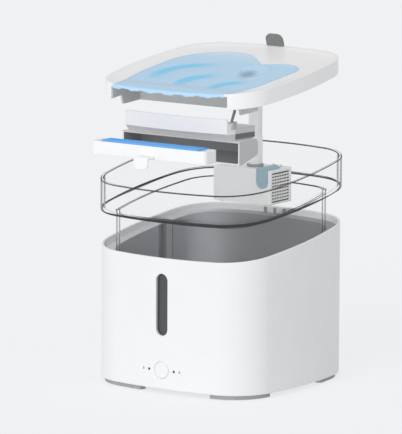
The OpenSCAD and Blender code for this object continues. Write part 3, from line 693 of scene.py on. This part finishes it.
class Finish(Enum):
    """The finishes of this fountain."""

    SHELL_WHITE = Moulded("shell_white", tone(243, 243, 244), coat=0.1)
    TRAY_WHITE = Moulded("tray_white", tone(249, 249, 249), 0.32, coat=0.15)
    TOWER_WHITE = Moulded("tower_white", tone(244, 244, 245), 0.34)
    HOPPER = HousingPlastic(
        "hopper_plastic", tone(236, 236, 237), tone(104, 106, 108), tone(168, 170, 172),
        tone(238, 238, 239), half=62.0, front=-63.0, rear=-37.0,
        low=98.5 + TRAY_RAISE, high=104.0 + TRAY_RAISE,
    )
    PUMP_GREY = Moulded("pump_grey", tone(254, 254, 253), 0.42)
    CLIP_GREY = Moulded("clip_grey", tone(188, 187, 186), 0.45)
    HOOD_GREY = Moulded("hood_grey", tone(208, 209, 208), 0.5)
    BEZEL_GREY = Moulded("bezel_grey", tone(120, 121, 123), 0.5)
    COVER_GREY = Moulded("cover_grey", tone(214, 215, 216), 0.55)
    SIGN_GREY = Moulded("sign_grey", tone(176, 178, 180), 0.5)
    NEAR_BLACK = Moulded("near_black", tone(38, 39, 41), 0.45)
    LAMP_LENS = Moulded("lamp_lens", tone(48, 52, 56), 0.15, coat=0.5)
    BOARD_GREEN = Moulded("board_green", tone(28, 92, 60), 0.4)
    FLOAT_RED = Moulded("float_red", tone(150, 60, 48), 0.5)
    MAGNET_DARK = Moulded("magnet_dark", tone(52, 52, 54), 0.6, 0.25, 0.03)
    POCKET = PocketPlastic("pocket_plastic", tone(150, 151, 154), tone(150, 151, 153))
    FOOT_RUBBER = SoftRubber("foot_rubber", tone(166, 167, 168))
    TAB_GREY = SoftRubber("tab_grey", tone(124, 124, 124))
    RING_GREY = SoftRubber("ring_grey", tone(158, 160, 162))
    LATCH_TEAL = SoftRubber("latch_teal", tone(164, 192, 203), 0.5)
    STEEL = DrawnSteel("drawn_steel", tone(200, 200, 202))
    COPPER = WoundWire("copper_wire", tone(200, 120, 70))
    SPONGE_BLUE = OpenFoam("sponge_blue", tone(112, 186, 254), tone(84, 156, 244))
    HOUSING = HousingPlastic(
        "housing_plastic", tone(230, 230, 231), tone(126, 128, 130), tone(122, 124, 126),
        tone(202, 202, 202), half=63.0, front=-66.0, rear=-37.0,
        low=77.8 + TRAY_RAISE, high=96.3 + TRAY_RAISE,
    )
    TANK_CLEAR = ClearPlastic(
        "tank_clear", tone(226, 229, 233), tone(34, 36, 39), flange_z=136.8 + TANK_RAISE
    )
    # Painted shade lines on the clear tank's lined roundings, for light bent at its edges.
    TANK_EDGE_SHADE = Moulded("tank_edge_shade", tone(50, 52, 54), 0.55)
    SMOKED = ClearPlastic("smoked_clear", tone(80, 83, 86), tone(50, 51, 53), 0.86)
    # Water colours: its body, its painted highlights and the painted shade over the well.
    WATER = RunningWater(
        "running_water", tone(194, 230, 254), tone(118, 214, 255), tone(146, 178, 204),
        (32.0, -5.0),
        (
            PaintedHighlight(-10.0, -27.0, 39.0, 9.0, 85.0, 225.0),
            PaintedHighlight(22.0, -48.0, 30.0, 8.0, 105.0, 225.0),
            PaintedHighlight(60.0, -62.0, 28.0, 7.0, 100.0, 210.0),
        ),
    )

    def material(self) -> bpy.types.Material:
        """The finish's material, made once."""
        found = bpy.data.materials.get(f"finish_{self.value.name}")
        return found or self.value.material()


# ---- Modelling


@dataclass(frozen=True)
class Zone:
    """A box in millimetres that edges are picked in; z may follow the rim's slope.

    The reach is the distance from the middle, measured so that a square with
    round corners has nearly the same reach all round.
    """

    x: Pair = (-400, 400)
    y: Pair = (-400, 400)
    z: Pair = (-400, 800)
    sloped: bool = False
    reach: Pair = (0, 800)

    def holds(self, point: Vector) -> bool:
        """Tests a point.

        Args:
            point: The point in millimetres.

        Returns:
            Whether it lies in the zone.
        """
        height = point.z - point.y * SLOPE if self.sloped else point.z
        reach = (point.x**4 + point.y**4) ** 0.25
        bounds = zip((point.x, point.y, height, reach), (self.x, self.y, self.z, self.reach))
        return all(low <= value <= high for value, (low, high) in bounds)


def level(height: float, half: float = 0.1, reach: Pair = (0, 800)) -> Zone:
    """A zone along the rim's slope: its height over the middle and half its thickness."""
    return Zone(z=(height - half, height + half), sloped=True, reach=reach)


@dataclass(frozen=True)
class Rounding:
    """A radius for the sharp edges of a zone."""

    width: float
    zone: Zone = Zone()
    steps: int = 3
    least_angle: float = 28.0
    lined: bool = False


@dataclass(frozen=True)
class Plan:
    """How one piece is made from the solid of the node that it stands for.

    It has the node's and the piece's name, the finish, the record's material
    slot, the edges to round in order, and the finish of the lined roundings.
    """

    node: str
    name: str
    finish: Finish
    slot: str
    roundings: Sequence[Rounding] = ()
    lining: Optional[Finish] = None


class Workshop:
    """The modelling steps that the sub-assemblies share."""

    def __init__(self, nodes: dict[str, bpy.types.Object]) -> None:
        """Keeps the solid model's objects by node name."""
        self.nodes = nodes

    def clear_hand(self) -> None:
        """Leaves edit mode and deselects every object."""
        if bpy.context.object and bpy.context.object.mode != "OBJECT":
            bpy.ops.object.mode_set(mode="OBJECT")
        for other in bpy.context.view_layer.objects:
            other.select_set(False)

    def hold(self, piece: bpy.types.Object) -> None:
        """Takes one piece in hand and no other.

        Args:
            piece: The piece.
        """
        self.clear_hand()
        piece.select_set(True)
        bpy.context.view_layer.objects.active = piece

    def add(self, name: str, primitive: Callable, **settings: object) -> bpy.types.Object:
        """Adds a primitive as the only piece in hand and names it.

        Args:
            name: The piece's name.
            primitive: The operator that adds it.
            settings: The operator's settings.

        Returns:
            The piece.
        """
        self.clear_hand()
        primitive(**settings)
        piece = bpy.context.object
        piece.name = piece.data.name = name
        return piece

    def edit(self, kind: str, action: str) -> None:
        """Enters edit mode and selects everything or nothing of one kind.

        Args:
            kind: VERT, EDGE or FACE.
            action: SELECT or DESELECT.
        """
        bpy.ops.object.mode_set(mode="EDIT")
        bpy.ops.mesh.select_mode(type=kind)
        bpy.ops.mesh.select_all(action=action)

    def slice(self, way: tuple[int, int, int], place_mm: float) -> None:
        """Cuts new edges through the piece in hand, across one axis at one place."""
        bpy.ops.mesh.select_all(action="SELECT")
        bpy.ops.mesh.bisect(plane_co=[place_mm * MM * axis for axis in way], plane_no=way)

    def thicken(self, lift: tuple[float, float, float]) -> None:
        """Extrudes the sheet in hand, with its normals outwards, and leaves edit mode.

        Args:
            lift: How far, in metres.
        """
        bpy.ops.mesh.select_all(action="SELECT")
        bpy.ops.mesh.extrude_region_move(TRANSFORM_OT_translate={"value": lift})
        bpy.ops.mesh.select_all(action="SELECT")
        bpy.ops.mesh.normals_make_consistent(inside=False)
        bpy.ops.object.mode_set(mode="OBJECT")

    def copy_of(self, node: str, name: str) -> bpy.types.Object:
        """Copies a node's solid, with its triangles merged into whole faces.

        Args:
            node: The node's name.
            name: The new piece's name.

        Returns:
            The copy, as the piece in hand.
        """
        piece = bpy.data.objects.new(name, self.nodes[node].data.copy())
        bpy.context.scene.collection.objects.link(piece)
        piece.data.materials.clear()
        piece.data.name = name
        self.hold(piece)
        bpy.ops.mesh.customdata_custom_splitnormals_clear()
        self.edit("VERT", "SELECT")
        bpy.ops.mesh.remove_doubles(threshold=0.002 * MM)
        bpy.ops.mesh.dissolve_limited(angle_limit=math.radians(0.2))
        bpy.ops.object.mode_set(mode="OBJECT")
        return piece

    def round_edges(self, piece: bpy.types.Object, rounding: Rounding) -> None:
        """Rounds the sharp edges of a zone.

        Args:
            piece: The piece to round.
            rounding: The zone, the radius and the number of steps.
        """
        self.hold(piece)
        self.edit("EDGE", "DESELECT")
        mesh = bmesh.from_edit_mesh(piece.data)
        least = math.radians(rounding.least_angle)
        for edge in mesh.edges:
            if len(edge.link_faces) == 2 and edge.calc_face_angle() > least:
                ends = [vert.co / MM for vert in edge.verts]
                if all(rounding.zone.holds(end) for end in ends):
                    edge.select_set(True)
        bmesh.update_edit_mesh(piece.data)
        bpy.ops.mesh.bevel(
            offset=rounding.width * MM,
            segments=rounding.steps,
            affect="EDGES",
            clamp_overlap=True,
            material=1 if rounding.lined else -1,
        )
        bpy.ops.object.mode_set(mode="OBJECT")

    def settle(self, piece: bpy.types.Object, angle: float = 40.0) -> None:
        """Puts the place in the mesh and smooths the shading between flat faces.

        Args:
            piece: The piece.
            angle: Steeper edges than this, in degrees, stay sharp.
        """
        self.hold(piece)
        bpy.ops.object.transform_apply(location=True, rotation=True, scale=True)
        bpy.ops.object.shade_smooth_by_angle(angle=math.radians(angle))
        weigh = piece.modifiers.new("weigh", "WEIGHTED_NORMAL")
        weigh.keep_sharp = True
        weigh.weight = 80
        bpy.ops.object.modifier_apply(modifier=weigh.name)

    def dress(
        self,
        piece: bpy.types.Object,
        finish: Finish,
        body: str,
        slot: str,
        replaces: Sequence[str] = (),
    ) -> None:
        """Gives a piece its finish, its body and what it stands for.

        Args:
            piece: The piece.
            finish: Its finish.
            body: The body that it rides on.
            slot: The record's material slot; not used.
            replaces: The nodes that it stands for.
        """
        if not piece.data.materials:
            piece.data.materials.append(finish.material())
        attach(piece, body)
        if replaces:
            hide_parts(*replaces)
        LOG.info("%s: %d faces, %s, on %s", piece.name, len(piece.data.polygons), finish.name, body)

    def polish(self, body: str, *plans: Plan) -> None:
        """Makes pieces from their nodes' solids, with rounded edges and smooth shading.

        Args:
            body: The body that they ride on.
            plans: How each piece is made.
        """
        for plan in plans:
            piece = self.copy_of(plan.node, plan.name)
            for skin in (plan.finish, plan.lining):
                if skin:
                    piece.data.materials.append(skin.material())
            for rounding in plan.roundings:
                self.round_edges(piece, rounding)
            self.settle(piece)
            self.dress(piece, plan.finish, body, plan.slot, [plan.node])

    def coat(self, finish: Finish, *nodes: str) -> None:
        """Gives nodes that keep their own solid a finish.

        Args:
            finish: The finish.
            nodes: The nodes' names.
        """
        for node in nodes:
            shown = self.nodes[node]
            shown.data.materials.clear()
            shown.data.materials.append(finish.material())
            LOG.info("%s: kept, %s", node, finish.name)


# ---- Sub-assemblies


@dataclass
class BaseUnit:
    """White base with its dark pocket, window, button, lamps and drive."""

    shop: Workshop
    half: float = 95.0
    bulge: float = 340.0
    rim_z: float = 136.5
    ledge_z: float = 130.6
    foot_z: float = 4.0
    window: Zone = Zone(x=(-6.6, 6.6), z=(52, 112))
    bore: Zone = Zone(x=(-8.2, 8.2), z=(13, 30))
    button_z: float = 21.6
    sign_x: float = 19.8
    sign_size: float = 2.0

    def build(self) -> None:
        """Makes every piece of the base."""
        self.casing()
        self.front()
        self.shop.coat(Finish.STEEL, "cover_screws", "board_screws")
        self.shop.coat(Finish.NEAR_BLACK, "touch_switch", "power_socket", "coil_core")
        self.shop.coat(Finish.BOARD_GREEN, "control_board")
        self.shop.coat(Finish.COPPER, "drive_coil")

    def casing(self) -> None:
        """Makes the shell, the pocket, the cover and the feet."""
        face = (-self.half - 1, -self.half + 1.5)
        shell = (
            Rounding(1.1, level(self.rim_z), 4),
            Rounding(1.2, Zone(z=(self.foot_z - 0.1, self.foot_z + 0.1))),
            Rounding(0.5, replace(self.window, y=face)),
            Rounding(0.3, replace(self.bore, y=face), 2),
        )
        ledge = [Rounding(0.5, level(self.ledge_z, 0.4))]
        sole = [Rounding(0.6, Zone(z=(-1, 0.1)))]
        self.shop.polish(
            "base",
            Plan("outer_shell", "base_shell", Finish.SHELL_WHITE, "white_shell", shell),
            Plan("inner_pocket", "pocket_liner", Finish.POCKET, "dark_liner", ledge),
            Plan("bottom_cover", "underside_cover", Finish.COVER_GREY, "cover_grey"),
            Plan("rubber_feet", "foot_strips", Finish.FOOT_RUBBER, "foot_rubber", sole),
        )

    def front(self) -> None:
        """Makes the window, the button, the lamps and the two signs."""
        cap = [Rounding(0.5, Zone(y=(-self.half - 1, -self.half + 0.2)))]
        lens = [Rounding(0.3, Zone(y=(-self.half - 1, -self.half + 1)))]
        self.shop.polish(
            "base",
            Plan("window_bezel", "window_ring", Finish.BEZEL_GREY, "bezel_grey", [Rounding(0.3)]),
            Plan("level_window", "window_pane", Finish.SMOKED, "smoked"),
        )
        self.shop.polish(
            "button", Plan("power_button", "button_cap", Finish.SHELL_WHITE, "white_shell", cap)
        )
        self.shop.polish(
            "base", Plan("lamp_pipes", "lamp_lenses", Finish.LAMP_LENS, "lamp_clear", lens)
        )
        for side in (-1, 1):
            self.sign(side)

    def sign(self, side: int) -> None:
        """Makes one small drop-shaped sign beside a lamp.

        Args:
            side: -1 for the left and 1 for the right.
        """
        x = side * self.sign_x
        y = self.bulge - self.half - math.sqrt(self.bulge**2 - x * x)
        piece = self.shop.add(
            f"drop_sign_{'left' if side < 0 else 'right'}",
            bpy.ops.mesh.primitive_circle_add,
            vertices=20,
            radius=self.sign_size / 2 * MM,
            fill_type="NGON",
            location=(x * MM, (y + 0.02) * MM, (self.button_z - 0.2) * MM),
            rotation=(math.radians(90), 0, 0),
        )
        bpy.ops.object.transform_apply(location=True, rotation=True, scale=True)
        self.shop.edit("VERT", "DESELECT")
        mesh = bmesh.from_edit_mesh(piece.data)
        tip = max(mesh.verts, key=lambda vert: vert.co.z)
        tip.select_set(True)
        bmesh.update_edit_mesh(piece.data)
        bpy.ops.transform.translate(
            value=(0, 0, self.sign_size * 0.55 * MM),
            use_proportional_edit=True,
            proportional_edit_falloff="SHARP",
            proportional_size=self.sign_size * 0.7 * MM,
        )
        self.shop.thicken((0, -0.06 * MM, 0))
        self.shop.settle(piece)
        self.shop.dress(piece, Finish.SIGN_GREY, "base", "bezel_grey")


@dataclass
class TankUnit:
    """Clear tank with its float and the clip over the level channel."""

    shop: Workshop
    rim_z: float = 165.3 + TANK_RAISE
    collar_z: float = 136.8 + TANK_RAISE
    shoulder_z: float = 138.8 + TANK_RAISE
    throat_z: float = 132.7 + TANK_RAISE
    chin_z: Pair = (23 + TANK_RAISE, 34 + TANK_RAISE)
    channel: Zone = Zone(x=(-8.2, 8.2), y=(-90, -88), z=(40 + TANK_RAISE, 134 + TANK_RAISE))
    body: Pair = (70, 86)
    collar: Pair = (88, 99)
    fillet: float = 6.0
    wall: float = 1.8

    def build(self) -> None:
        """Makes every piece of the tank."""
        edges = (
            Rounding(0.65, level(self.rim_z), 2, lined=True),
            Rounding(0.6, level(self.collar_z, reach=self.collar), 2, lined=True),
            Rounding(self.fillet - self.wall, level(self.collar_z, reach=self.body), 6),
            Rounding(self.fillet, level(self.shoulder_z, reach=self.body), 6),
            Rounding(0.35, level(self.throat_z, 0.35, self.body), 1, 2.0, lined=True),
            Rounding(0.4, level(self.shoulder_z, reach=self.collar), 2, lined=True),
            Rounding(0.75, self.channel, 2, lined=True),
            Rounding(2.0, Zone(z=self.chin_z), 4, 20.0),
        )
        # Lined roundings take the dark edge finish: painted shade lines along the clear tank's
        # edges.
        clear, lining = Finish.TANK_CLEAR, Finish.TANK_EDGE_SHADE
        self.shop.polish(
            "tank",
            Plan("water_tank", "clear_tank", clear, "tank_clear", edges, lining),
            Plan("channel_cap", "channel_clip", Finish.BEZEL_GREY, "bezel_grey", [Rounding(0.3)]),
        )
        self.shop.polish(
            "float",
            Plan("level_float", "float_block", Finish.FLOAT_RED, "float_red", [Rounding(0.5)]),
        )


@dataclass
class TrayUnit:
    """White drinking tray with its basin, pull tab, hood, hopper and duct."""

    shop: Workshop
    half: float = 92.0
    corner: float = 41.0
    inset: float = 3.8
    flat: float = 55.0
    basin_half: float = 70.0
    bulge: float = 337.0
    rim_z: float = 153.5 + TRAY_RAISE
    floor_z: float = 150.1 + TRAY_RAISE
    lip_z: float = 152.9 + TRAY_RAISE
    skirt_z: float = 139.1 + TRAY_RAISE
    lip_half: float = 61.0
    lip_y: float = -80.0
    lip_run: float = 22.0
    lobe: Lobe = (-24.5, 16.0, 45.5, 32)
    small_lobe: Lobe = (47.5, 12.5, 24.0, 24)
    outlet: Pair = (33.0, -7.0)
    swirl: tuple[Pair, ...] = (
        (7, 16), (69, 22), (104, 32), (140, 22), (156, 11), (229, 6.6), (297, 14), (321, 17),
        (367, 16),
    )
    film_drop: float = 1.6
    lip_swell: float = 1.5
    well_depth: float = 1.25
    ridge: float = 0.45
    ridge_width: float = 2.6
    ripple: float = 0.12
    ripple_turn: float = 0.9
    ripple_reach: float = 26.0
    grid: float = 2.0
    bend: tuple[Pair, ...] = (
        (2.2, -0.02), (0.8, -0.05), (-0.25, -0.3), (-0.5, -0.8), (-0.5, -1.8), (-0.45, -2.9),
    )
    frayed: int = 4
    columns: int = 60
    spill_wall: float = 0.3

    def build(self) -> None:
        """Makes every piece of the tray."""
        self.bowl()
        self.under()
        self.water()
        self.spill()

    def bowl(self) -> None:
        """Makes the tray and its pull tab."""
        edges = (
            Rounding(0.6, level(self.rim_z), 4),
            Rounding(0.5, level(self.rim_z - 1.4, 0.9), 4),
            Rounding(0.6, level(self.floor_z)),
            Rounding(0.6, level(self.skirt_z)),
        )
        self.shop.polish(
            "tray_unit",
            Plan("drinking_tray", "tray_bowl", Finish.TRAY_WHITE, "white_tray", edges),
            Plan("pull_tab", "grip_tab", Finish.TAB_GREY, "tab_grey", [Rounding(0.6, steps=4)]),
        )

    def under(self) -> None:
        """Makes what hangs under the tray."""
        bezel, clip = Finish.BEZEL_GREY, Finish.CLIP_GREY
        self.shop.polish(
            "tray_unit",
            Plan("outlet_duct", "water_duct", Finish.TOWER_WHITE, "tower_white", [Rounding(0.3)]),
            Plan("flow_hood", "spill_hood", Finish.HOOD_GREY, "hood_grey", [Rounding(0.3)]),
            Plan("hopper", "filter_hopper", Finish.HOPPER, "tower_white", [Rounding(0.4)]),
            Plan("hopper_stay", "hopper_arm", bezel, "bezel_grey", [Rounding(0.2)]),
            Plan("hopper_clip", "hopper_lock", clip, "clip_grey", [Rounding(0.4)]),
        )

    def basin_edge(self, grow: float) -> list[Pair]:
        """Outline of the basin in millimetres.

        Args:
            grow: Distance outwards from the basin's own wall.

        Returns:
            Points round the outline.
        """
        side, wide = self.lip_half + grow, self.basin_half + grow
        points = [(side, -self.half - 4), (side, -80.0), (wide - 3, -64.0), (wide, -46.0)]
        right, left = self.small_lobe, self.lobe
        points += self.arc(right, grow, 0, 122)
        points.append((right[0] - 23 + grow * 0.4, right[1] + 16 + grow * 0.9))
        points += self.arc(left, grow, 62, 180)
        points += [(-wide, -26.0), (3 - wide, -50.0)]
        return points + [(-side, -76.0), (-side, -self.half - 4)]

    def arc(self, lobe: Lobe, grow: float, start: int, end: int) -> list[Pair]:
        """Follows the round edge of a lobe.

        Args:
            lobe: The middle, the radius and the number of steps.
            grow: How much wider than the lobe.
            start: First angle in degrees.
            end: Last angle.

        Returns:
            The points, as x and y.
        """
        x, y, radius, steps = lobe
        angles = (math.radians(start + (end - start) * i / steps) for i in range(steps + 1))
        reach = radius + grow
        return [(x + reach * math.cos(a), y + reach * math.sin(a)) for a in angles]

    def front(self, x: float) -> float:
        """Follows the front face of the tray.

        Args:
            x: Distance from the middle.

        Returns:
            The face's y.
        """
        if abs(x) < self.flat:
            return self.bulge - self.half - math.sqrt(self.bulge**2 - x * x)
        middle = self.half - self.corner - self.inset
        return -middle - math.sqrt(max(0.0, self.corner**2 - (abs(x) - middle) ** 2))

    def rise(self, y: float) -> float:
        """How far the way up to the spill lip has come, from 0 to 1."""
        return min(1.0, max(0.0, (self.lip_y + self.lip_run - y) / self.lip_run))

    def surface(self, x: float, y: float) -> float:
        """Shapes the water: level, with a swirl over the outlet and a bulge at the lip.

        Args:
            x: Place across the tray.
            y: Place along the tray.

        Returns:
            The height, without the rim's slope.
        """
        share = self.rise(y)
        height = self.rim_z - self.film_drop + self.lip_swell * share * share * (3 - 2 * share)
        across, along = x - self.outlet[0], y - self.outlet[1]
        reach = math.hypot(across, along)
        turn = math.degrees(math.atan2(along, across)) % 360
        rim = self.swirl[0][1]
        for (start, near), (end, far) in zip(self.swirl, self.swirl[1:]):
            if start <= turn <= end:
                rim = near + (far - near) * (turn - start) / (end - start)
        well = max(0.0, 1 - reach / rim)
        ridge = self.ridge * math.exp(-(((reach - rim) / self.ridge_width) ** 2))
        wave = math.sin(reach * self.ripple_turn - math.radians(turn))
        rounds = wave * self.ripple * math.exp(-reach / self.ripple_reach)
        return height + (1 - share) * (ridge - self.well_depth * well * (2 - well) + rounds)

    def water(self) -> None:
        """Makes the film of water that runs over the basin to the spill lip."""
        edge = self.basin_edge(-0.15)
        circle = bpy.ops.mesh.primitive_circle_add
        piece = self.shop.add("water_film", circle, vertices=len(edge), fill_type="NGON")
        for vert, (x, y) in zip(piece.data.vertices, edge):
            vert.co = Vector((x, y, 0)) * MM
        bpy.ops.object.mode_set(mode="EDIT")
        cuts = int(self.half / self.grid)
        for number in range(-cuts, cuts + 1):
            place = number * self.grid
            if abs(place) < self.basin_half:
                self.shop.slice((1, 0, 0), place)
            if -self.half < place < self.basin_half:
                self.shop.slice((0, 1, 0), place)
        self.shop.thicken((0, 0, MM))
        for vert in piece.data.vertices:
            x, y, upper = vert.co.x / MM, vert.co.y / MM, vert.co.z > MM / 2
            y = max(y, self.front(x) + 0.1)
            low = self.floor_z + (self.lip_z - self.floor_z) * self.rise(y) + 0.06
            height = max(self.surface(x, y), low + 0.08) if upper else low
            vert.co = Vector((x, y, height + y * SLOPE)) * MM
        self.shop.settle(piece, 60)
        self.shop.dress(piece, Finish.WATER, "tray_unit", "lamp_clear")

    def spill(self) -> None:
        """Makes the water that bends over the lip and clings to the front."""
        rows = len(self.bend) - 1
        grid = bpy.ops.mesh.primitive_grid_add
        piece = self.shop.add(
            "water_spill", grid, x_subdivisions=self.columns, y_subdivisions=rows, size=1
        )
        for vert in piece.data.vertices:
            x = vert.co.x * 2 * (self.lip_half - 0.2)
            row = round((0.5 - vert.co.y) * rows)
            back, drop = self.bend[row]
            y = self.front(x) + back
            if row >= self.frayed:
                drop *= 1 + 0.25 * math.sin(x * 0.31) + 0.12 * math.sin(x * 0.83 + 1.0)
            vert.co = Vector((x, y, self.rim_z - 0.15 + drop + y * SLOPE)) * MM
        thick = piece.modifiers.new("thick", "SOLIDIFY")
        thick.thickness, thick.offset = self.spill_wall * MM, 0.0
        self.shop.hold(piece)
        bpy.ops.object.modifier_apply(modifier=thick.name)
        self.shop.settle(piece, 60)
        self.shop.dress(piece, Finish.WATER, "tray_unit", "lamp_clear")


@dataclass
class FilterUnit:
    """Filter housing and its arm, and the drawer with the cassette and the sponge."""

    shop: Workshop
    half: float = 53.4
    front: float = -66.4 - CASSETTE_OUT + 2.3
    depth: float = 15.4
    low: float = 84.6 + TRAY_RAISE
    high: float = 95.8 + TRAY_RAISE
    rim_z: float = 94.5 + TRAY_RAISE
    foot_z: Pair = (65.0 + TRAY_RAISE, 83.2 + TRAY_RAISE)
    crown: float = 0.4
    columns: int = 40
    rows: int = 6

    def build(self) -> None:
        """Makes every piece of the filter."""
        all_edges = [Rounding(0.3)]
        rims = (
            Rounding(0.8, Zone(z=(self.rim_z - 0.2, self.rim_z + 0.2))),
            Rounding(0.5, Zone(z=self.foot_z)),
        )
        self.shop.polish(
            "tray_unit",
            Plan("filter_housing", "cassette_housing", Finish.HOUSING, "tower_white", all_edges),
            Plan("housing_arm", "housing_bracket", Finish.TOWER_WHITE, "tower_white", all_edges),
        )
        white = Finish.TRAY_WHITE
        self.shop.polish(
            "drawer",
            Plan("filter_cassette", "cassette_frame", white, "white_tray", rims),
            Plan("pull_tongue", "cassette_tongue", white, "white_tray", [Rounding(0.5)]),
        )
        self.sponge()

    def sponge(self) -> None:
        """Makes the filter sponge: a slack block of foam, a little crowned."""
        middle, halfway = self.front + self.depth / 2, (self.low + self.high) / 2
        place, cube = (0, middle * MM, halfway * MM), bpy.ops.mesh.primitive_cube_add
        piece = self.shop.add("foam_sponge", cube, size=1, location=place)
        piece.scale = (2 * self.half * MM, self.depth * MM, (self.high - self.low) * MM)
        bpy.ops.object.transform_apply(location=True, rotation=True, scale=True)
        self.shop.edit("EDGE", "SELECT")
        bpy.ops.mesh.bevel(offset=1.2 * MM, segments=3, affect="EDGES", clamp_overlap=True)
        for at in range(1, self.columns):
            self.shop.slice((1, 0, 0), 2 * self.half * at / self.columns - self.half)
        for at in range(1, self.rows):
            self.shop.slice((0, 1, 0), self.front + self.depth * at / self.rows)
        bpy.ops.object.mode_set(mode="OBJECT")
        for vert in piece.data.vertices:
            x, y, z = vert.co / MM
            if z > halfway:
                share = max(0.0, 1 - ((y - middle) / (self.depth / 2)) ** 2)
                wave = 0.5 + 0.25 * math.sin(x * 0.16) + 0.25 * math.sin(x * 0.37 + y * 0.3)
                vert.co.z += self.crown * share * wave * MM
        self.shop.settle(piece, 60)
        self.shop.dress(piece, Finish.SPONGE_BLUE, "drawer", "sponge_blue", ["filter_sponge"])


@dataclass
class PumpUnit:
    """Riser tube, pump and its latch."""

    shop: Workshop
    cover_z: float = 59.1 + TRAY_RAISE
    louvre_z: Pair = (25.0 + TRAY_RAISE, 55.0 + TRAY_RAISE)

    def build(self) -> None:
        """Makes every piece of the pump."""
        shop, grey, clip = self.shop, Finish.PUMP_GREY, Finish.CLIP_GREY
        case = (
            Rounding(1.0, Zone(z=(self.cover_z - 0.1, self.cover_z + 0.1))),
            Rounding(0.15, Zone(z=self.louvre_z), 2),
        )
        shop.polish(
            "tray_unit",
            Plan("riser_tube", "riser_pipe", Finish.TOWER_WHITE, "tower_white"),
            Plan("riser_seal", "riser_ring", Finish.RING_GREY, "bezel_grey", [Rounding(0.5)]),
            Plan("pump_cover", "pump_case", grey, "pump_grey", case),
            Plan("intake_screen", "intake_mesh", Finish.NEAR_BLACK, "black_plastic"),
            Plan("pump_plate", "pump_base", grey, "pump_grey", [Rounding(0.4)]),
            Plan("pump_feet", "pump_pads", clip, "bezel_grey"),
        )
        shop.polish(
            "latch",
            Plan("cover_latch", "case_latch", Finish.LATCH_TEAL, "latch_teal", [Rounding(0.5)]),
        )
        shop.coat(Finish.STEEL, "latch_pin", "impeller_shaft")
        shop.coat(grey, "pump_volute")
        shop.coat(Finish.NEAR_BLACK, "pump_bushes")
        shop.coat(Finish.TOWER_WHITE, "impeller")
        shop.coat(Finish.MAGNET_DARK, "rotor_magnet")


# ---- Studio


@dataclass
class Studio:
    """Plain pale floor, soft light and the camera."""

    distance: float = 4.271
    azimuth: float = 34.452
    elevation: float = 10.106
    look_azimuth: float = 34.706
    look_elevation: float = 9.166
    roll: float = 0.27
    aim_z: float = 0.079
    lens: float = 384.4
    backdrop: Colour = tone(239, 241, 243)
    ambient: float = 0.56
    key: float = 0.55
    fill: float = 0.96
    towards: tuple[float, float, float] = (0.09, -0.84, 0.6)
    spread: float = 35.0
    glow: float = 1.085
    glow_share: float = 0.7

    def build(self) -> None:
        """Makes the floor, the light and the camera."""
        bpy.context.scene.view_settings.view_transform = "Standard"
        self.floor()
        self.light()
        self.camera()

    def direction(self, azimuth: float, elevation: float) -> Vector:
        """Unit vector from the object towards the camera."""
        a, e = math.radians(azimuth), math.radians(elevation)
        return Vector((math.sin(a) * math.cos(e), -math.cos(a) * math.cos(e), math.sin(e)))

    def camera(self) -> None:
        """Makes the camera."""
        data = bpy.data.cameras.new("studio_camera")
        data.lens, data.sensor_width, data.sensor_fit = self.lens, 36.0, "AUTO"
        data.clip_start, data.clip_end = 0.1, 60.0
        eye = bpy.data.objects.new("studio_camera", data)
        bpy.context.scene.collection.objects.link(eye)
        back = self.direction(self.look_azimuth, self.look_elevation)
        a = math.radians(self.look_azimuth)
        right = Vector((math.cos(a), math.sin(a), 0.0))
        up = back.cross(right)
        t = math.radians(self.roll)
        right, up = right * math.cos(t) + up * math.sin(t), up * math.cos(t) - right * math.sin(t)
        turn = Matrix((right, up, back)).transposed().to_4x4()
        place = self.direction(self.azimuth, self.elevation) * self.distance
        eye.matrix_world = Matrix.Translation(place + Vector((0, 0, self.aim_z))) @ turn
        bpy.context.scene.camera = eye

    def floor(self) -> None:
        """Makes the floor."""
        bpy.ops.mesh.primitive_plane_add(size=80, location=(0, 0, -0.0002))
        piece = bpy.context.object
        piece.name = "studio_floor"
        tree = Tree("floor_pale")
        clouds = tree.noise(900.0, 1.0)
        pale = tree.mix(clouds, tone(236, 238, 240), tone(237, 239, 241))
        paper = tree.node("ShaderNodeBsdfDiffuse", {}, {"Color": pale}).outputs[0]
        lit = {"Color": (*self.backdrop, 1.0), "Strength": self.glow}
        glow = tree.node("ShaderNodeEmission", {}, lit).outputs[0]
        seen = tree.seen("Camera", "Glossy", "Transmission") * self.glow_share
        both = tree.node("ShaderNodeMixShader", {}, {0: seen, 1: paper, 2: glow})
        tree.links.new(both.outputs[0], tree.end.inputs[0])
        piece.data.materials.append(tree.material)

    def light(self) -> None:
        """Makes the even sky and the two soft lights from the front."""
        world = bpy.data.worlds.new("studio_sky")
        bpy.context.scene.world = world
        sky = Graph(world)
        seen = sky.seen("Camera", "Transmission")
        ambient = (self.ambient, self.ambient, self.ambient * 1.01)
        colour = sky.mix(seen, ambient, self.backdrop)
        sky.links.new(colour, sky.nodes["Background"].inputs["Color"])
        self.sun("key_light", self.key, True)
        self.sun("fill_light", self.fill, False)

    def sun(self, name: str, energy: float, shadow: bool) -> None:
        """Makes one wide light from the front.

        Args:
            name: The light's name.
            energy: Its strength.
            shadow: Whether it casts one.
        """
        sun = bpy.data.lights.new(name, "SUN")
        sun.energy, sun.angle, sun.use_shadow = energy, math.radians(self.spread), shadow
        lamp = bpy.data.objects.new(name, sun)
        bpy.context.scene.collection.objects.link(lamp)
        lamp.rotation_mode = "QUATERNION"
        lamp.rotation_quaternion = Vector(self.towards).to_track_quat("Z", "Y")


def main() -> None:
    """Builds the fountain's looks and the studio round it."""
    logging.basicConfig(level=logging.INFO, format="%(message)s")
    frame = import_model()
    Studio().build()
    shop = Workshop(frame["nodes"])
    for unit in (BaseUnit, TankUnit, TrayUnit, FilterUnit, PumpUnit):
        unit(shop).build()


if __name__ == "__main__":
    main()
